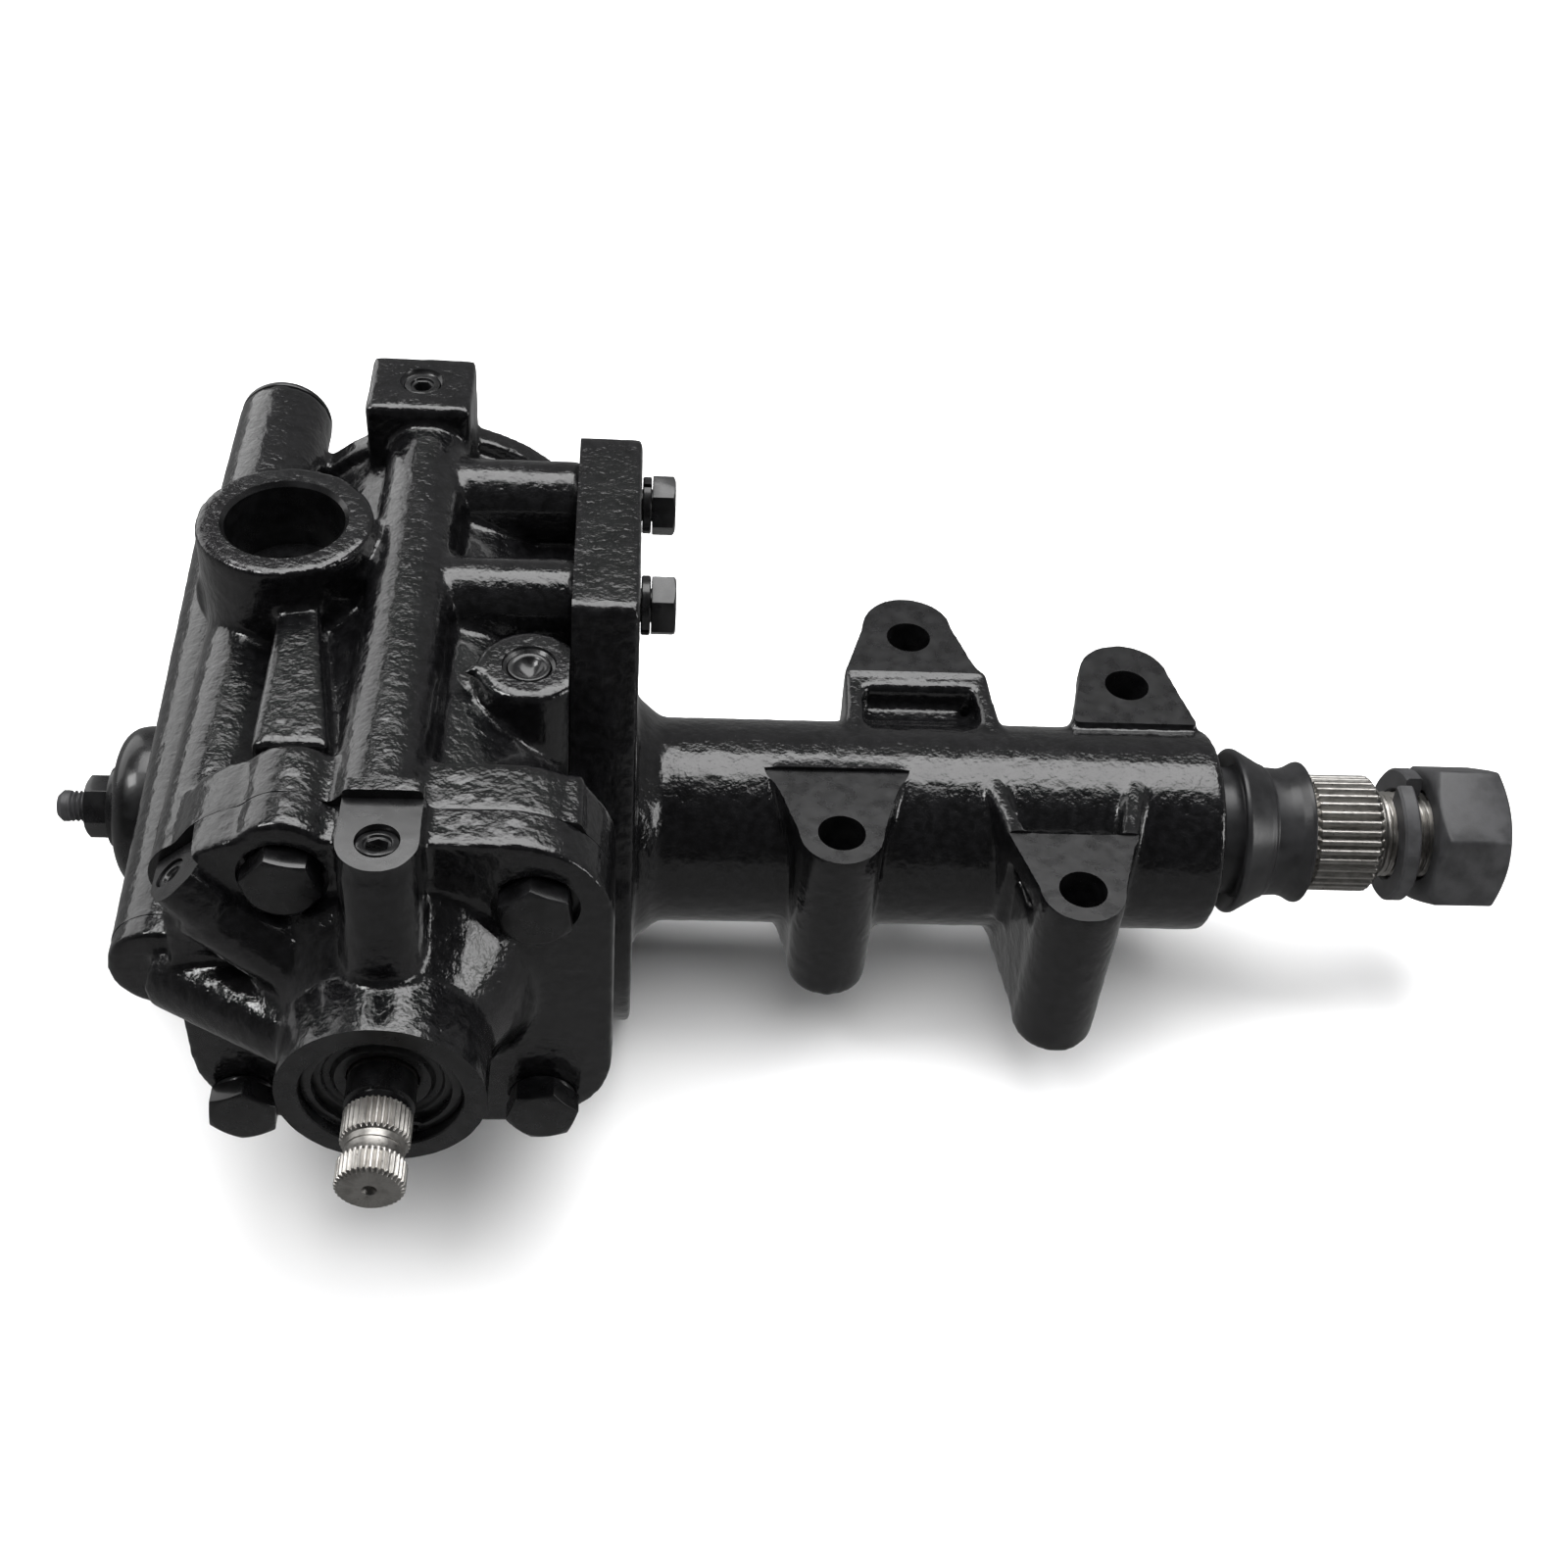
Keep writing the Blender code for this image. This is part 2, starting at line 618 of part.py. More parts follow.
def make_sector_housing_bolts():
    """The side of each head is where a spanner reaches it: left for the two in front."""
    for number, (y, z, side) in SIDE_BOLTS.items():
        seat = EAR_RIGHT_X + GAP if side > 0 else 26 - GAP
        tip = 24 if side > 0 else 56
        washer = ring(*sorted((seat, seat + side * 2.7)), 5.4, 8.6, "X", (0.0, y, z), 16)
        under = seat + side * 3.0
        head = hexagon("X", *sorted((under, under + side * 7.0)), 16.0, (0, y, z), 8 * number)
        shank = x_rod(*sorted((under + side, tip)), 4.9, y, z, sides=12)
        finish(f"sector_housing_bolt_{number}", solid([head, shank]), "black_paint", "root")
        finish(f"spring_washer_{number}", washer, "black_paint", "root")


# Input shaft, valve and worm


def splined_rod(axis, t0, t1, r, depth, count, at):
    """A rod whose section is a ring of straight-sided teeth."""
    pitch = 2 * pi / count
    outline = []
    for i in range(count):
        for turn, radius in ((-pitch / 8, r), (pitch / 8, r), (pitch / 2, r - depth)):
            angle = pitch * i + turn
            outline.append((radius * cos(angle), radius * sin(angle)))
    facing = {"X": facing_x, "Y": facing_y}[axis]
    place = Matrix.Translation(Vector(at) * MM) @ facing((t0 + t1) / 2)
    return plate(outline, t1 - t0, place)


PIN_Y = -116.0  # cross pin between the input shaft and the torsion bar


def pin_hole():
    return rod((-20, PIN_Y, WORM_Z), (20, PIN_Y, WORM_Z), 2.3, sides=10)


def make_input_shaft():
    at = (0.0, 0.0, WORM_Z)
    end = SHAFT_END_Y
    core = [
        (-103.0, 0.0), (-103.0, 11.4), (-122.0, 11.4), (-123.0, 8.9), (-149.0, 8.9), (-150.0, 7.5),
        (end, 7.5), (end, 0.0),
    ]
    adds = [
        turned(core, "Y", ROUND, at),
        splined_rod("Y", end + 0.4, end + 7.0, 8.75, 0.8, 18, at),
        splined_rod("Y", end + 13.5, -149.5, 8.75, 0.8, 18, at),
    ]
    shaft = solid(adds, [y_rod(-158, -95, 4.9), pin_hole()])
    finish("input_shaft", shaft, "bare_steel", "input_axis")
    bar = [
        (-84, 0), (-84, 4.4), (-96, 4.4), (-99, 3.1), (-109, 3.1), (-112, 4.4), (-157, 4.4), (-157, 0),
    ]
    bar = solid([turned(bar, "Y", 16, at)], [pin_hole()])
    finish("torsion_bar", bar, "bearing_steel", "input_axis")
    pin = rod((-10.8, PIN_Y, WORM_Z), (10.8, PIN_Y, WORM_Z), 2.0, sides=12)
    finish("torsion_bar_pin", pin, "bearing_steel", "input_axis")


def make_input_seals():
    finish("input_bearing", ring(-133.0, -125.0, 9.3, 19.7, sides=24), "bearing_steel", "root")
    seal = [
        (-133.4, 19.7), (-139.0, 19.7), (-139.0, 12.2), (-137.0, 11.8), (-138.2, 9.2), (-136.8, 9.2),
        (-134.8, 11.0), (-134.8, 17.8), (-133.4, 17.8),
    ]
    finish("input_oil_seal", turned(seal, "Y", 24, (0.0, 0.0, WORM_Z)), "rubber", "root")
    band = ring(-141.2, -139.8, 17.6, 20.3, sides=32)
    gap = box((2.0, -142, WORM_Z - 25), (6.5, -139, WORM_Z - 15))
    ears = [y_rod(-141.2, -139.8, 1.9, x, WORM_Z - 16.6, sides=12) for x in (1.2, 7.4)]
    finish("input_snap_ring", solid([band, *ears], [gap]), "dark_steel", "root")


def make_valve_sleeve():
    outer = [(-101.4, 19.6)]
    for groove in (-106.0, -115.0):
        outer += [(groove, 19.6), (groove, 18.4), (groove - 3.0, 18.4), (groove - 3.0, 19.6)]
    outer += [(-123.0, 19.6), (-123.0, 11.8), (-101.4, 11.8)]
    finish("valve_sleeve", turned(outer, "Y", ROUND, (0.0, 0.0, WORM_Z)), "bearing_steel", "worm_axis")


WORM_END_Y = 32.0


def make_worm():
    at = (0.0, 0.0, WORM_Z)
    land = 12.7
    profile = [
        (WORM_END_Y, 0.0), (WORM_END_Y, land - 1), (WORM_END_Y - 1, land), (-32.0, land), (-33.0, 8.2),
        (-78.0, 8.2), (-79.0, 11.0), (-92.0, 11.0), (-92.5, 19.0), (-101.0, 19.0), (-101.0, 0.0),
    ]
    groove = helix_tube(BALL_CIRCLE_R, BALL_R + 0.75, WORM_LEAD, -37.0, WORM_END_Y + 6.0)
    cuts = [groove, y_rod(-110, -82, 4.8)]
    finish("worm_shaft", solid([turned(profile, "Y", ROUND, at)], cuts), "bearing_steel", "worm_axis")


def make_worm_bearing():
    finish("worm_bearing_inner", ring(-91.0, -81.0, 11.3, 15.0, sides=24), "bearing_steel", "worm_axis")
    finish("worm_bearing_outer", ring(-91.0, -81.0, 17.5, 24.0, sides=24), "bearing_steel", "root")
    retainer = [(-80.0, 38.2), (-93.7, 38.2), (-93.7, 20.0), (-91.4, 20.0), (-91.4, 24.4), (-80.0, 24.4)]
    finish("bearing_retainer", turned(retainer, "Y", FINE, (0.0, 0.0, WORM_Z)), "dark_steel", "root")


# Ball nut with its rack

RACK_TIP_Z = SECTOR_PITCH_R - 3.2
RACK_ROOT_Z = SECTOR_PITCH_R + 4.0
TOOTH_PITCH = 2 * pi * SECTOR_PITCH_R / SECTOR_TEETH
PRESSURE_ANGLE = radians(25)
BACKLASH = 0.5
NUT_BORE_R = 15.7
PISTON_HEAD_Y = 42.0
PISTON_END_Y = 55.0


def rack_gap(centre_y):
    """One gap of the rack, cut right across the nut's flat underside, as (y, z) points."""
    half = TOOTH_PITCH / 4 + BACKLASH / 2
    slope = tan(PRESSURE_ANGLE)
    low = RACK_TIP_Z - 6
    narrow = half - (RACK_ROOT_Z - SECTOR_PITCH_R) * slope
    wide = half + (SECTOR_PITCH_R - low) * slope
    outline = [
        (centre_y + narrow, RACK_ROOT_Z), (centre_y - narrow, RACK_ROOT_Z),
        (centre_y - wide, low), (centre_y + wide, low),
    ]
    return plate(outline, 90.0, facing_x(0.0))


def ball_return_points():
    """The path of the ball return: out of the groove, along the nut's top and back in."""
    y = WORM_LEAD
    foot = WORM_Z + BALL_CIRCLE_R + 4.2
    low = WORM_Z + 24
    high = WORM_Z + 26.5
    half = [(y - 2.5, high), (y, low), (y, foot)]
    return [(0, -t, z) for t, z in reversed(half)] + [(0, t, z) for t, z in half]


def ball(place):
    """A ball as a turned half circle."""
    steps = 6
    profile = [(BALL_R, 0.0)]
    profile += [(BALL_R * cos(pi * k / steps), BALL_R * sin(pi * k / steps)) for k in range(1, steps)]
    profile.append((-BALL_R, 0.0))
    return turned(profile, "Y", 10, place)


def make_ball_nut():
    at = (0.0, 0.0, WORM_Z)
    body = [
        (PISTON_END_Y, 0.0), (PISTON_END_Y, PISTON_R - 1), (PISTON_END_Y - 1, PISTON_R),
        (51.5, PISTON_R), (51.5, PISTON_R - 3), (48.2, PISTON_R - 3), (48.2, PISTON_R),
        (-41.0, PISTON_R), (-42.0, PISTON_R - 1), (-42.0, 0.0),
    ]
    cuts = [
        y_rod(-50, 50.5, NUT_BORE_R, sides=32),
        box((-45, -50, -20), (45, PISTON_HEAD_Y, RACK_TIP_Z)),
        box((-7, -16, WORM_Z + 20), (7, 16, WORM_Z + 45)),
        *[z_rod(WORM_Z + 10, WORM_Z + 30, 4.4, 0, y, sides=16) for y in (-WORM_LEAD, WORM_LEAD)],
        *[rack_gap(i * TOOTH_PITCH) for i in range(-3, 4)],
    ]
    finish("ball_nut", solid([turned(body, "Y", FINE, at)], cuts), "dark_steel", "nut_axis")
    band = ring(48.6, 51.1, PISTON_R - 2.6, BORE_R - 0.3, sides=FINE)
    finish("piston_ring", band, "bronze", "nut_axis")
    finish("ball_return_guide", pipe(ball_return_points(), 3.9), "bearing_steel", "nut_axis")
    top = WORM_Z + 32.2
    strap = [box((-6.5, -3.5, top - 1.2), (6.5, 3.5, top))]
    for x in (-5.7, 5.7):
        strap.append(box((x - 0.8, -3.5, WORM_Z + 20.4), (x + 0.8, 3.5, top - 0.2)))
    finish("return_guide_clamp", solid(strap), "dark_steel", "nut_axis")


def make_balls():
    """Balls in the groove; where the return guide opens, above the worm, there is none."""
    spread = 0.95 * WORM_LEAD
    steps = 8
    places = [on_helix(BALL_CIRCLE_R, WORM_LEAD, spread * (2 * i / steps - 1)) for i in range(steps)]
    clear = [place for place in places if abs(place[0]) > 1 or place[2] < WORM_Z]
    for number, place in enumerate(clear, 1):
        finish(f"ball_{number}", ball(place), "bearing_steel", "nut_axis")


# Sector shaft


def involute_tooth(middle):
    """The (y, z) points of one sector tooth, pointing away from the axis at this angle."""
    base_r = SECTOR_PITCH_R * cos(PRESSURE_ANGLE)
    tip_r, root_r = SECTOR_PITCH_R + 3.0, SECTOR_PITCH_R - 4.4
    pitch_turn = tan(PRESSURE_ANGLE) - PRESSURE_ANGLE
    half = pi / 2 / SECTOR_TEETH - BACKLASH / 4 / SECTOR_PITCH_R
    flank = [(root_r - 1.5, half + pitch_turn)]
    for k in range(5):
        r = base_r + (tip_r - base_r) * k / 4
        roll = sqrt(max(0.0, (r / base_r) ** 2 - 1))
        flank.append((r, half + pitch_turn - (roll - atan(roll))))
    points = [(r, middle - a) for r, a in flank] + [(r, middle + a) for r, a in reversed(flank)]
    return [(r * cos(a), r * sin(a)) for r, a in points]


SHAFT_END_X = 342.0


def make_sector_shaft():
    end = SHAFT_END_X
    core = [
        (end, 0.0), (end, 12.6), (end - 1.4, 14.0), (302.0, 14.0), (300.0, 16.8), (280.0, 16.8),
        (279.0, 18.6), (33.0, 18.6), (31.0, 17.4), (-26.0, 17.4), (-27.0, 14.0), (-77.0, 14.0),
        (-77.0, 0.0),
    ]
    pitch = 2 * pi / SECTOR_TEETH
    teeth = [plate(involute_tooth(pi / 2 + i * pitch), 44.0, facing_x(0.0)) for i in range(-2, 3)]
    spline = splined_rod("X", 280.2, 300.8, 18.9, 1.3, 24, (0.0, 0.0, 0.0))
    cuts = [x_rod(-80, -60.5, 8.4)]
    shape = solid([turned(core, "X", 24), *teeth, spline], cuts)
    finish("sector_shaft", shape, "bare_steel", "sector_axis")


def make_sector_bearings():
    """Two needle bearings and an oil seal, in the tube's bores round the shaft."""
    centre = (0.0, 0.0, 0.0)
    places = {
        "sector_bearing_inner": (64.0, 79.0, "bearing_steel"),
        "sector_bearing_outer": (214.5, 232.0, "bearing_steel"),
        "sector_oil_seal": (236.0, 243.5, "rubber"),
    }
    for name, (x0, x1, material) in places.items():
        finish(name, ring(x0, x1, 19.0, 22.9, "X", centre, 24), material, "root")


def make_output_end():
    centre = (0.0, 0.0, 0.0)
    boot = [
        (277.6, 19.0), (277.6, 22.6), (274.0, 22.4), (262.0, 20.9), (260.6, 22.0), (257.4, 26.4),
        (254.6, 26.2), (252.0, 22.8), (246.4, 22.6), (246.4, 19.0),
    ]
    finish("dust_boot", turned(boot, "X", 28), "rubber", "sector_axis")
    washer = ring(307.0, 314.5, 14.4, 21.7, "X", centre, 32)
    finish("pitman_spring_washer", washer, "dark_steel", "sector_axis")
    nut = solid([hexagon("X", 318.0, 341.7, 43.5, centre, 20)], [x_rod(310, 350, 14.3)])
    finish("pitman_nut", nut, "dark_steel", "sector_axis")


# The whole gearbox


def stand_on_floor():
    """Moves the root so that the gearbox stands on z = 0 with its box centred on the origin."""
    bpy.context.view_layer.update()
    corners = []
    for piece in GEARBOX.objects:
        corners += [piece.matrix_world @ Vector(corner) for corner in piece.bound_box]
    low = [min(corner[i] for corner in corners) for i in range(3)]
    high = [max(corner[i] for corner in corners) for i in range(3)]
    AXES["root"].location = (-(low[0] + high[0]) / 2, -(low[1] + high[1]) / 2, -low[2])


def make_axis(name, parent, place):
    axis = bpy.data.objects.new(name, None)
    axis.location = Vector(place) * MM
    axis.parent = parent
    GEARBOX_AXES.objects.link(axis)
    return axis


clear_scene()
GEARBOX = new_collection("power_steering_gearbox")
GEARBOX_AXES = new_collection("axes")
HELPERS = new_collection("helpers")
PAINTS = {name: make_material(name, *look) for name, look in MATERIALS.items()}
ROOT = make_axis("gearbox_root", None, (0, 0, 0))
AXES = {"root": ROOT, "sector_axis": make_axis("sector_axis", ROOT, (0, 0, 0))}
for axis_name in ("worm_axis", "input_axis", "nut_axis"):
    AXES[axis_name] = make_axis(axis_name, ROOT, (0, 0, WORM_Z))

make_gear_housing()
make_valve_housing()
make_sector_housing()
make_side_cover()
make_adjuster()
make_rear_plug()
make_plugs()
make_valve_housing_bolts()
make_sector_housing_bolts()
make_input_shaft()
make_input_seals()
make_valve_sleeve()
make_worm()
make_worm_bearing()
make_ball_nut()
make_balls()
make_sector_shaft()
make_sector_bearings()
make_output_end()
stand_on_floor()
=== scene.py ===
"""Looks of the power-steering gearbox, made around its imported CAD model.

Lengths are in millimetres, with the sector shaft's axis as X and the worm's axis along Y above
it, as in the CAD. The helpers turn them into metres, and placed() moves each shape to its place.
A casting is made as a real one is: its shapes are fused into one skin and softened into fillets,
its skin gets the roughness of sand, and then the machined faces and holes are cut from it.
"""
import json
from math import atan, cos, pi, radians, sin, sqrt, tan

import bmesh
import bpy
import numpy as np
from mathutils import Matrix, Vector, noise


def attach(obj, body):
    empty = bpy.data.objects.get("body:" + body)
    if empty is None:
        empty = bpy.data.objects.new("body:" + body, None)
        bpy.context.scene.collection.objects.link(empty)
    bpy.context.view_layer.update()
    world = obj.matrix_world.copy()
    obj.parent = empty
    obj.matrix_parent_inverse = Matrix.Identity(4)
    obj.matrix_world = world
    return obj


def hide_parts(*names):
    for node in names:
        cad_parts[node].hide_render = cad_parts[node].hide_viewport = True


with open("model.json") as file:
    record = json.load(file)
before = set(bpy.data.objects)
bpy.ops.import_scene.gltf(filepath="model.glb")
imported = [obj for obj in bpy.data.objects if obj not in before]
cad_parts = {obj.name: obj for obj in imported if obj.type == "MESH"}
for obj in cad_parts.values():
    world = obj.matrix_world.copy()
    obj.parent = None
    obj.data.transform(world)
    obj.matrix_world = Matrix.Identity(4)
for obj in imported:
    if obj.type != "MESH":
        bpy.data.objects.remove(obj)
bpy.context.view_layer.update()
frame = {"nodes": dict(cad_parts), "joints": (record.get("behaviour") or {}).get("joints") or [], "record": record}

MM = 0.001
WELD = 1e-6  # metres within which points are one
JOINTS = {joint["name"]: joint for joint in frame["joints"]}
ORIGIN = Vector(JOINTS["sector_swing"]["pos_m"])
BODY_OF = {
    node: body
    for body, members in frame["record"]["behaviour"]["bodies"].items()
    for node in members
}

# Driving dimensions, the same as the CAD model's
WORM_Z = 44.0
GAP = 0.3
SECTOR_PITCH_R = 22.0
SECTOR_TEETH = 12
BORE_R = 38.5
JOINT_Y = -94.0
JOINT_X = 43.5
REAR_Y = 79.0
TUBE_R = 32.3
TUBE_END_X = 246.0
SHAFT_END_Y = -172.0
LUG_FACE_Z = 30.5
LUG_HOLE_R = 7.2
PORT = (-38.2, 10.9)
PORT_FACE_Z = 106.0
BASE_Z = -60.0

ROUND, FINE = 48, 96  # sides of small and of large round shapes
CAST, MACHINED = 0, 1  # material slots of a casting


# Mesh helpers


def new_object(name, mesh):
    obj = bpy.data.objects.new(name, mesh)
    bpy.context.scene.collection.objects.link(obj)
    return obj


def drop(obj):
    bpy.data.objects.remove(obj, do_unlink=True)


def frozen(obj):
    """The object as its modifiers leave it, as a plain mesh object at the origin."""
    bpy.context.view_layer.update()
    graph = bpy.context.evaluated_depsgraph_get()
    mesh = bpy.data.meshes.new_from_object(obj.evaluated_get(graph))
    mesh.transform(obj.matrix_world)
    work = bmesh.new()
    work.from_mesh(mesh)
    bmesh.ops.remove_doubles(work, verts=work.verts, dist=WELD)
    work.to_mesh(mesh)
    work.free()
    drop(obj)
    return new_object("shape", mesh)


def from_bmesh(work, name="shape"):
    mesh = bpy.data.meshes.new(name)
    work.to_mesh(mesh)
    work.free()
    return new_object(name, mesh)


def rod(start, end, r, r_end=None, sides=ROUND):
    """A cylinder or cone between two points."""
    a = Vector(start) * MM
    b = Vector(end) * MM
    work = bmesh.new()
    bmesh.ops.create_cone(
        work,
        cap_ends=True,
        segments=sides,
        radius1=r * MM,
        radius2=(r if r_end is None else r_end) * MM,
        depth=(b - a).length,
    )
    turn = Vector((0, 0, 1)).rotation_difference(b - a).to_matrix().to_4x4()
    work.transform(Matrix.Translation((a + b) / 2) @ turn)
    return from_bmesh(work)


def x_rod(x0, x1, r, y=0.0, z=0.0, r_end=None, sides=ROUND):
    return rod((x0, y, z), (x1, y, z), r, r_end, sides)


def y_rod(y0, y1, r, x=0.0, z=WORM_Z, r_end=None, sides=ROUND):
    return rod((x, y0, z), (x, y1, z), r, r_end, sides)


def z_rod(z0, z1, r, x=0.0, y=0.0, r_end=None, sides=ROUND):
    return rod((x, y, z0), (x, y, z1), r, r_end, sides)


def box(low, high):
    work = bmesh.new()
    bmesh.ops.create_cube(work, size=1.0)
    size = [(b - a) * MM for a, b in zip(low, high)]
    middle = [(a + b) / 2 * MM for a, b in zip(low, high)]
    work.transform(Matrix.Translation(middle) @ Matrix.Diagonal((*size, 1.0)))
    return from_bmesh(work)


def plate(outline, thickness, matrix):
    """A flat outline of (x, y) points with this thickness, centred on its plane, then placed."""
    curve = bpy.data.curves.new("outline", "CURVE")
    curve.dimensions = "2D"
    curve.fill_mode = "BOTH"
    curve.extrude = thickness / 2 * MM
    spline = curve.splines.new("POLY")
    spline.points.add(len(outline) - 1)
    for point, (x, y) in zip(spline.points, outline):
        point.co = (x * MM, y * MM, 0.0, 1.0)
    spline.use_cyclic_u = True
    obj = new_object("outline", curve)
    obj.matrix_world = matrix
    return frozen(obj)


def facing_x(x):
    """Places an outline of (y, z) points in the plane at this x."""
    axes = Matrix(((0, 0, 1), (1, 0, 0), (0, 1, 0))).to_4x4()
    return Matrix.Translation((x * MM, 0.0, 0.0)) @ axes


def facing_y(y):
    """Places an outline of (-x, z) points in the plane at this y."""
    axes = Matrix(((-1, 0, 0), (0, 0, 1), (0, 1, 0))).to_4x4()
    return Matrix.Translation((0.0, y * MM, 0.0)) @ axes


def facing_z(z):
    return Matrix.Translation((0.0, 0.0, z * MM))


def facing_along(top, foot):
    """Places an outline across the line from foot to top, at top; its first axis stays level."""
    normal = (Vector(top) - Vector(foot)).normalized()
    level = Vector((0.0, 0.0, 1.0)).cross(normal).normalized()
    axes = Matrix((level, normal.cross(level), normal)).transposed().to_4x4()
    return Matrix.Translation(Vector(top) * MM) @ axes


def arc(centre, r, first, last, steps):
    """Points on an arc from one angle to another, in degrees."""
    cx, cy = centre
    angles = [radians(first + (last - first) * i / steps) for i in range(steps + 1)]
    return [(cx + r * cos(a), cy + r * sin(a)) for a in angles]


def rounded_box_outline(x0, x1, y0, y1, r, steps=14):
    corners = (
        ((x1 - r, y1 - r), 0),
        ((x0 + r, y1 - r), 90),
        ((x0 + r, y0 + r), 180),
        ((x1 - r, y0 + r), 270),
    )
    points = []
    for centre, first in corners:
        points += arc(centre, r, first, first + 90, steps)
    return points


def eased(profile, r, closed):
    """The profile with each corner off the axis rounded by about r."""
    count = len(profile)
    result = []
    for i, (t, radius) in enumerate(profile):
        if not closed and i in (0, count - 1):
            result.append((t, radius))
            continue
        here = np.array((t, radius), float)
        before = np.array(profile[i - 1], float) - here
        after = np.array(profile[(i + 1) % count], float) - here
        reach = [min(r, 0.45 * np.hypot(*side)) for side in (before, after)]
        ends = [here + side / np.hypot(*side) * far for side, far in zip((before, after), reach)]
        middle = (ends[0] + ends[1]) / 4 + here / 2
        result += [tuple(ends[0]), tuple(middle), tuple(ends[1])]
    return result


def turned(profile, axis="Z", sides=FINE, at=(0.0, 0.0, 0.0), ease=0.0):
    """A turned shape. The profile's (distance along the axis, radius) run down the outer side."""
    on_axis = profile[0][1] == 0 and profile[-1][1] == 0  # otherwise it is a closed loop
    if ease:
        profile = eased(profile, ease, not on_axis)
    mesh = bpy.data.meshes.new("profile")
    points = [(r * MM, 0.0, t * MM) for t, r in profile]
    edges = [(i, i + 1) for i in range(len(points) - 1)]
    if not on_axis:
        edges.append((len(points) - 1, 0))
    mesh.from_pydata(points, edges, [])
    obj = new_object("profile", mesh)
    screw = obj.modifiers.new("turn", "SCREW")
    screw.axis = "Z"
    screw.steps = sides
    screw.render_steps = sides
    screw.use_merge_vertices = True
    screw.merge_threshold = WELD
    turns = {
        "X": Matrix.Rotation(pi / 2, 4, "Y"),
        "Y": Matrix.Rotation(-pi / 2, 4, "X"),
        "Z": Matrix(),
    }
    obj.matrix_world = Matrix.Translation(Vector(at) * MM) @ turns[axis]
    return frozen(obj)


def ring(t0, t1, r_in, r_out, axis="Y", at=(0.0, 0.0, WORM_Z), sides=FINE, ease=0.3):
    return turned([(t1, r_out), (t0, r_out), (t0, r_in), (t1, r_in)], axis, sides, at, ease)


def fused(shapes):
    """Several shapes as the separate shells of one mesh object."""
    work = bmesh.new()
    for shape in shapes:
        shape.data.transform(shape.matrix_world)
        work.from_mesh(shape.data)
        drop(shape)
    bmesh.ops.recalc_face_normals(work, faces=work.faces)
    return from_bmesh(work)


def combine(base, others, operation, solver="EXACT"):
    """The base after the same Boolean operation with each of the others, which are used up."""
    for other in others:
        change = base.modifiers.new(operation, "BOOLEAN")
        change.operation = operation
        change.object = other
        change.solver = solver
        if solver == "EXACT":
            change.use_self = False
    result = frozen(base)
    for other in others:
        drop(other)
    return result


def solid(adds, cuts=()):
    """The union of some shapes, with others cut from it."""
    whole = combine(adds[0], adds[1:], "UNION")
    return combine(whole, list(cuts), "DIFFERENCE") if cuts else whole


def softened_edges(shape, width, segments=2, angle=30):
    """The shape with its sharp edges rounded."""
    bevel = shape.modifiers.new("edges", "BEVEL")
    bevel.width = width * MM
    bevel.segments = segments
    bevel.limit_method = "ANGLE"
    bevel.angle_limit = radians(angle)
    bevel.use_clamp_overlap = True
    return frozen(shape)


def along(start, end, distance):
    """The point this far from start towards end."""
    a = Vector(start)
    step = (Vector(end) - a).normalized()
    return tuple(a + step * distance)


def placed(name, shape, materials, sharp=35):
    """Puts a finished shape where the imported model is, as a piece that stands for its CAD node."""
    node = name.removesuffix("_look")
    mesh = shape.data
    mesh.transform(shape.matrix_world)
    mesh.transform(Matrix.Translation(ORIGIN))
    mesh.shade_smooth()
    mesh.set_sharp_from_angle(angle=radians(sharp))
    if materials:
        mesh.materials.clear()
        for material in materials:
            mesh.materials.append(PAINTS[material])
    shape.matrix_world = Matrix()
    shape.name = name
    mesh.name = name
    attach(shape, BODY_OF[node])
    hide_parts(node)
    return shape


# Castings


GEAR_SKIN = (1.15, 7, 0.13, 3.0)  # voxel, smoothing rounds, height of the sand, its own pattern
VALVE_SKIN = (1.0, 8, 0.12, 71.0)
SECTOR_SKIN = (1.15, 7, 0.12, 140.0)
SAND = ((11.0, 0.6), (4.6, 0.8), (2.3, 0.7))  # size in mm and share of each layer of roughness


def skin(shapes, voxel, rounds, lump, seed):
    """The shapes as one cast skin: fused, softened into fillets, and rough like sand."""
    raw = fused(shapes)
    remesh = raw.modifiers.new("skin", "REMESH")
    remesh.mode = "VOXEL"
    remesh.voxel_size = voxel * MM
    raw = frozen(raw)
    mesh = raw.data

    # Softening: each point moves halfway to the middle of its neighbours
    count = len(mesh.vertices)
    co = np.empty(count * 3)
    mesh.vertices.foreach_get("co", co)
    co = co.reshape(-1, 3)
    ends = np.empty(len(mesh.edges) * 2, int)
    mesh.edges.foreach_get("vertices", ends)
    a, b = ends.reshape(-1, 2).T
    degree = np.bincount(a, minlength=count) + np.bincount(b, minlength=count)
    for _ in range(rounds):
        total = np.stack(
            [np.bincount(a, co[b, k], count) + np.bincount(b, co[a, k], count) for k in range(3)], 1
        )
        co += 0.5 * (total / degree[:, None] - co)
    mesh.vertices.foreach_set("co", co.ravel())
    mesh.update()

    # Roughness: each point moves along its normal by the height of the sand there
    normal = np.empty(count * 3)
    mesh.vertices.foreach_get("normal", normal)
    normal = normal.reshape(-1, 3)
    shift = Vector((seed, 0.0, 0.0))
    height = np.array([sand(Vector(p) / MM + shift) for p in co]) * lump * MM
    mesh.vertices.foreach_set("co", (co + normal * height[:, None]).ravel())
    mesh.update()
    return raw


def sand(p):
    """The height of cast roughness at a point in millimetres, about -1 to 1."""
    wide, lumps, grain = (share * noise.noise(p / size) for size, share in SAND)
    return wide + lumps + grain


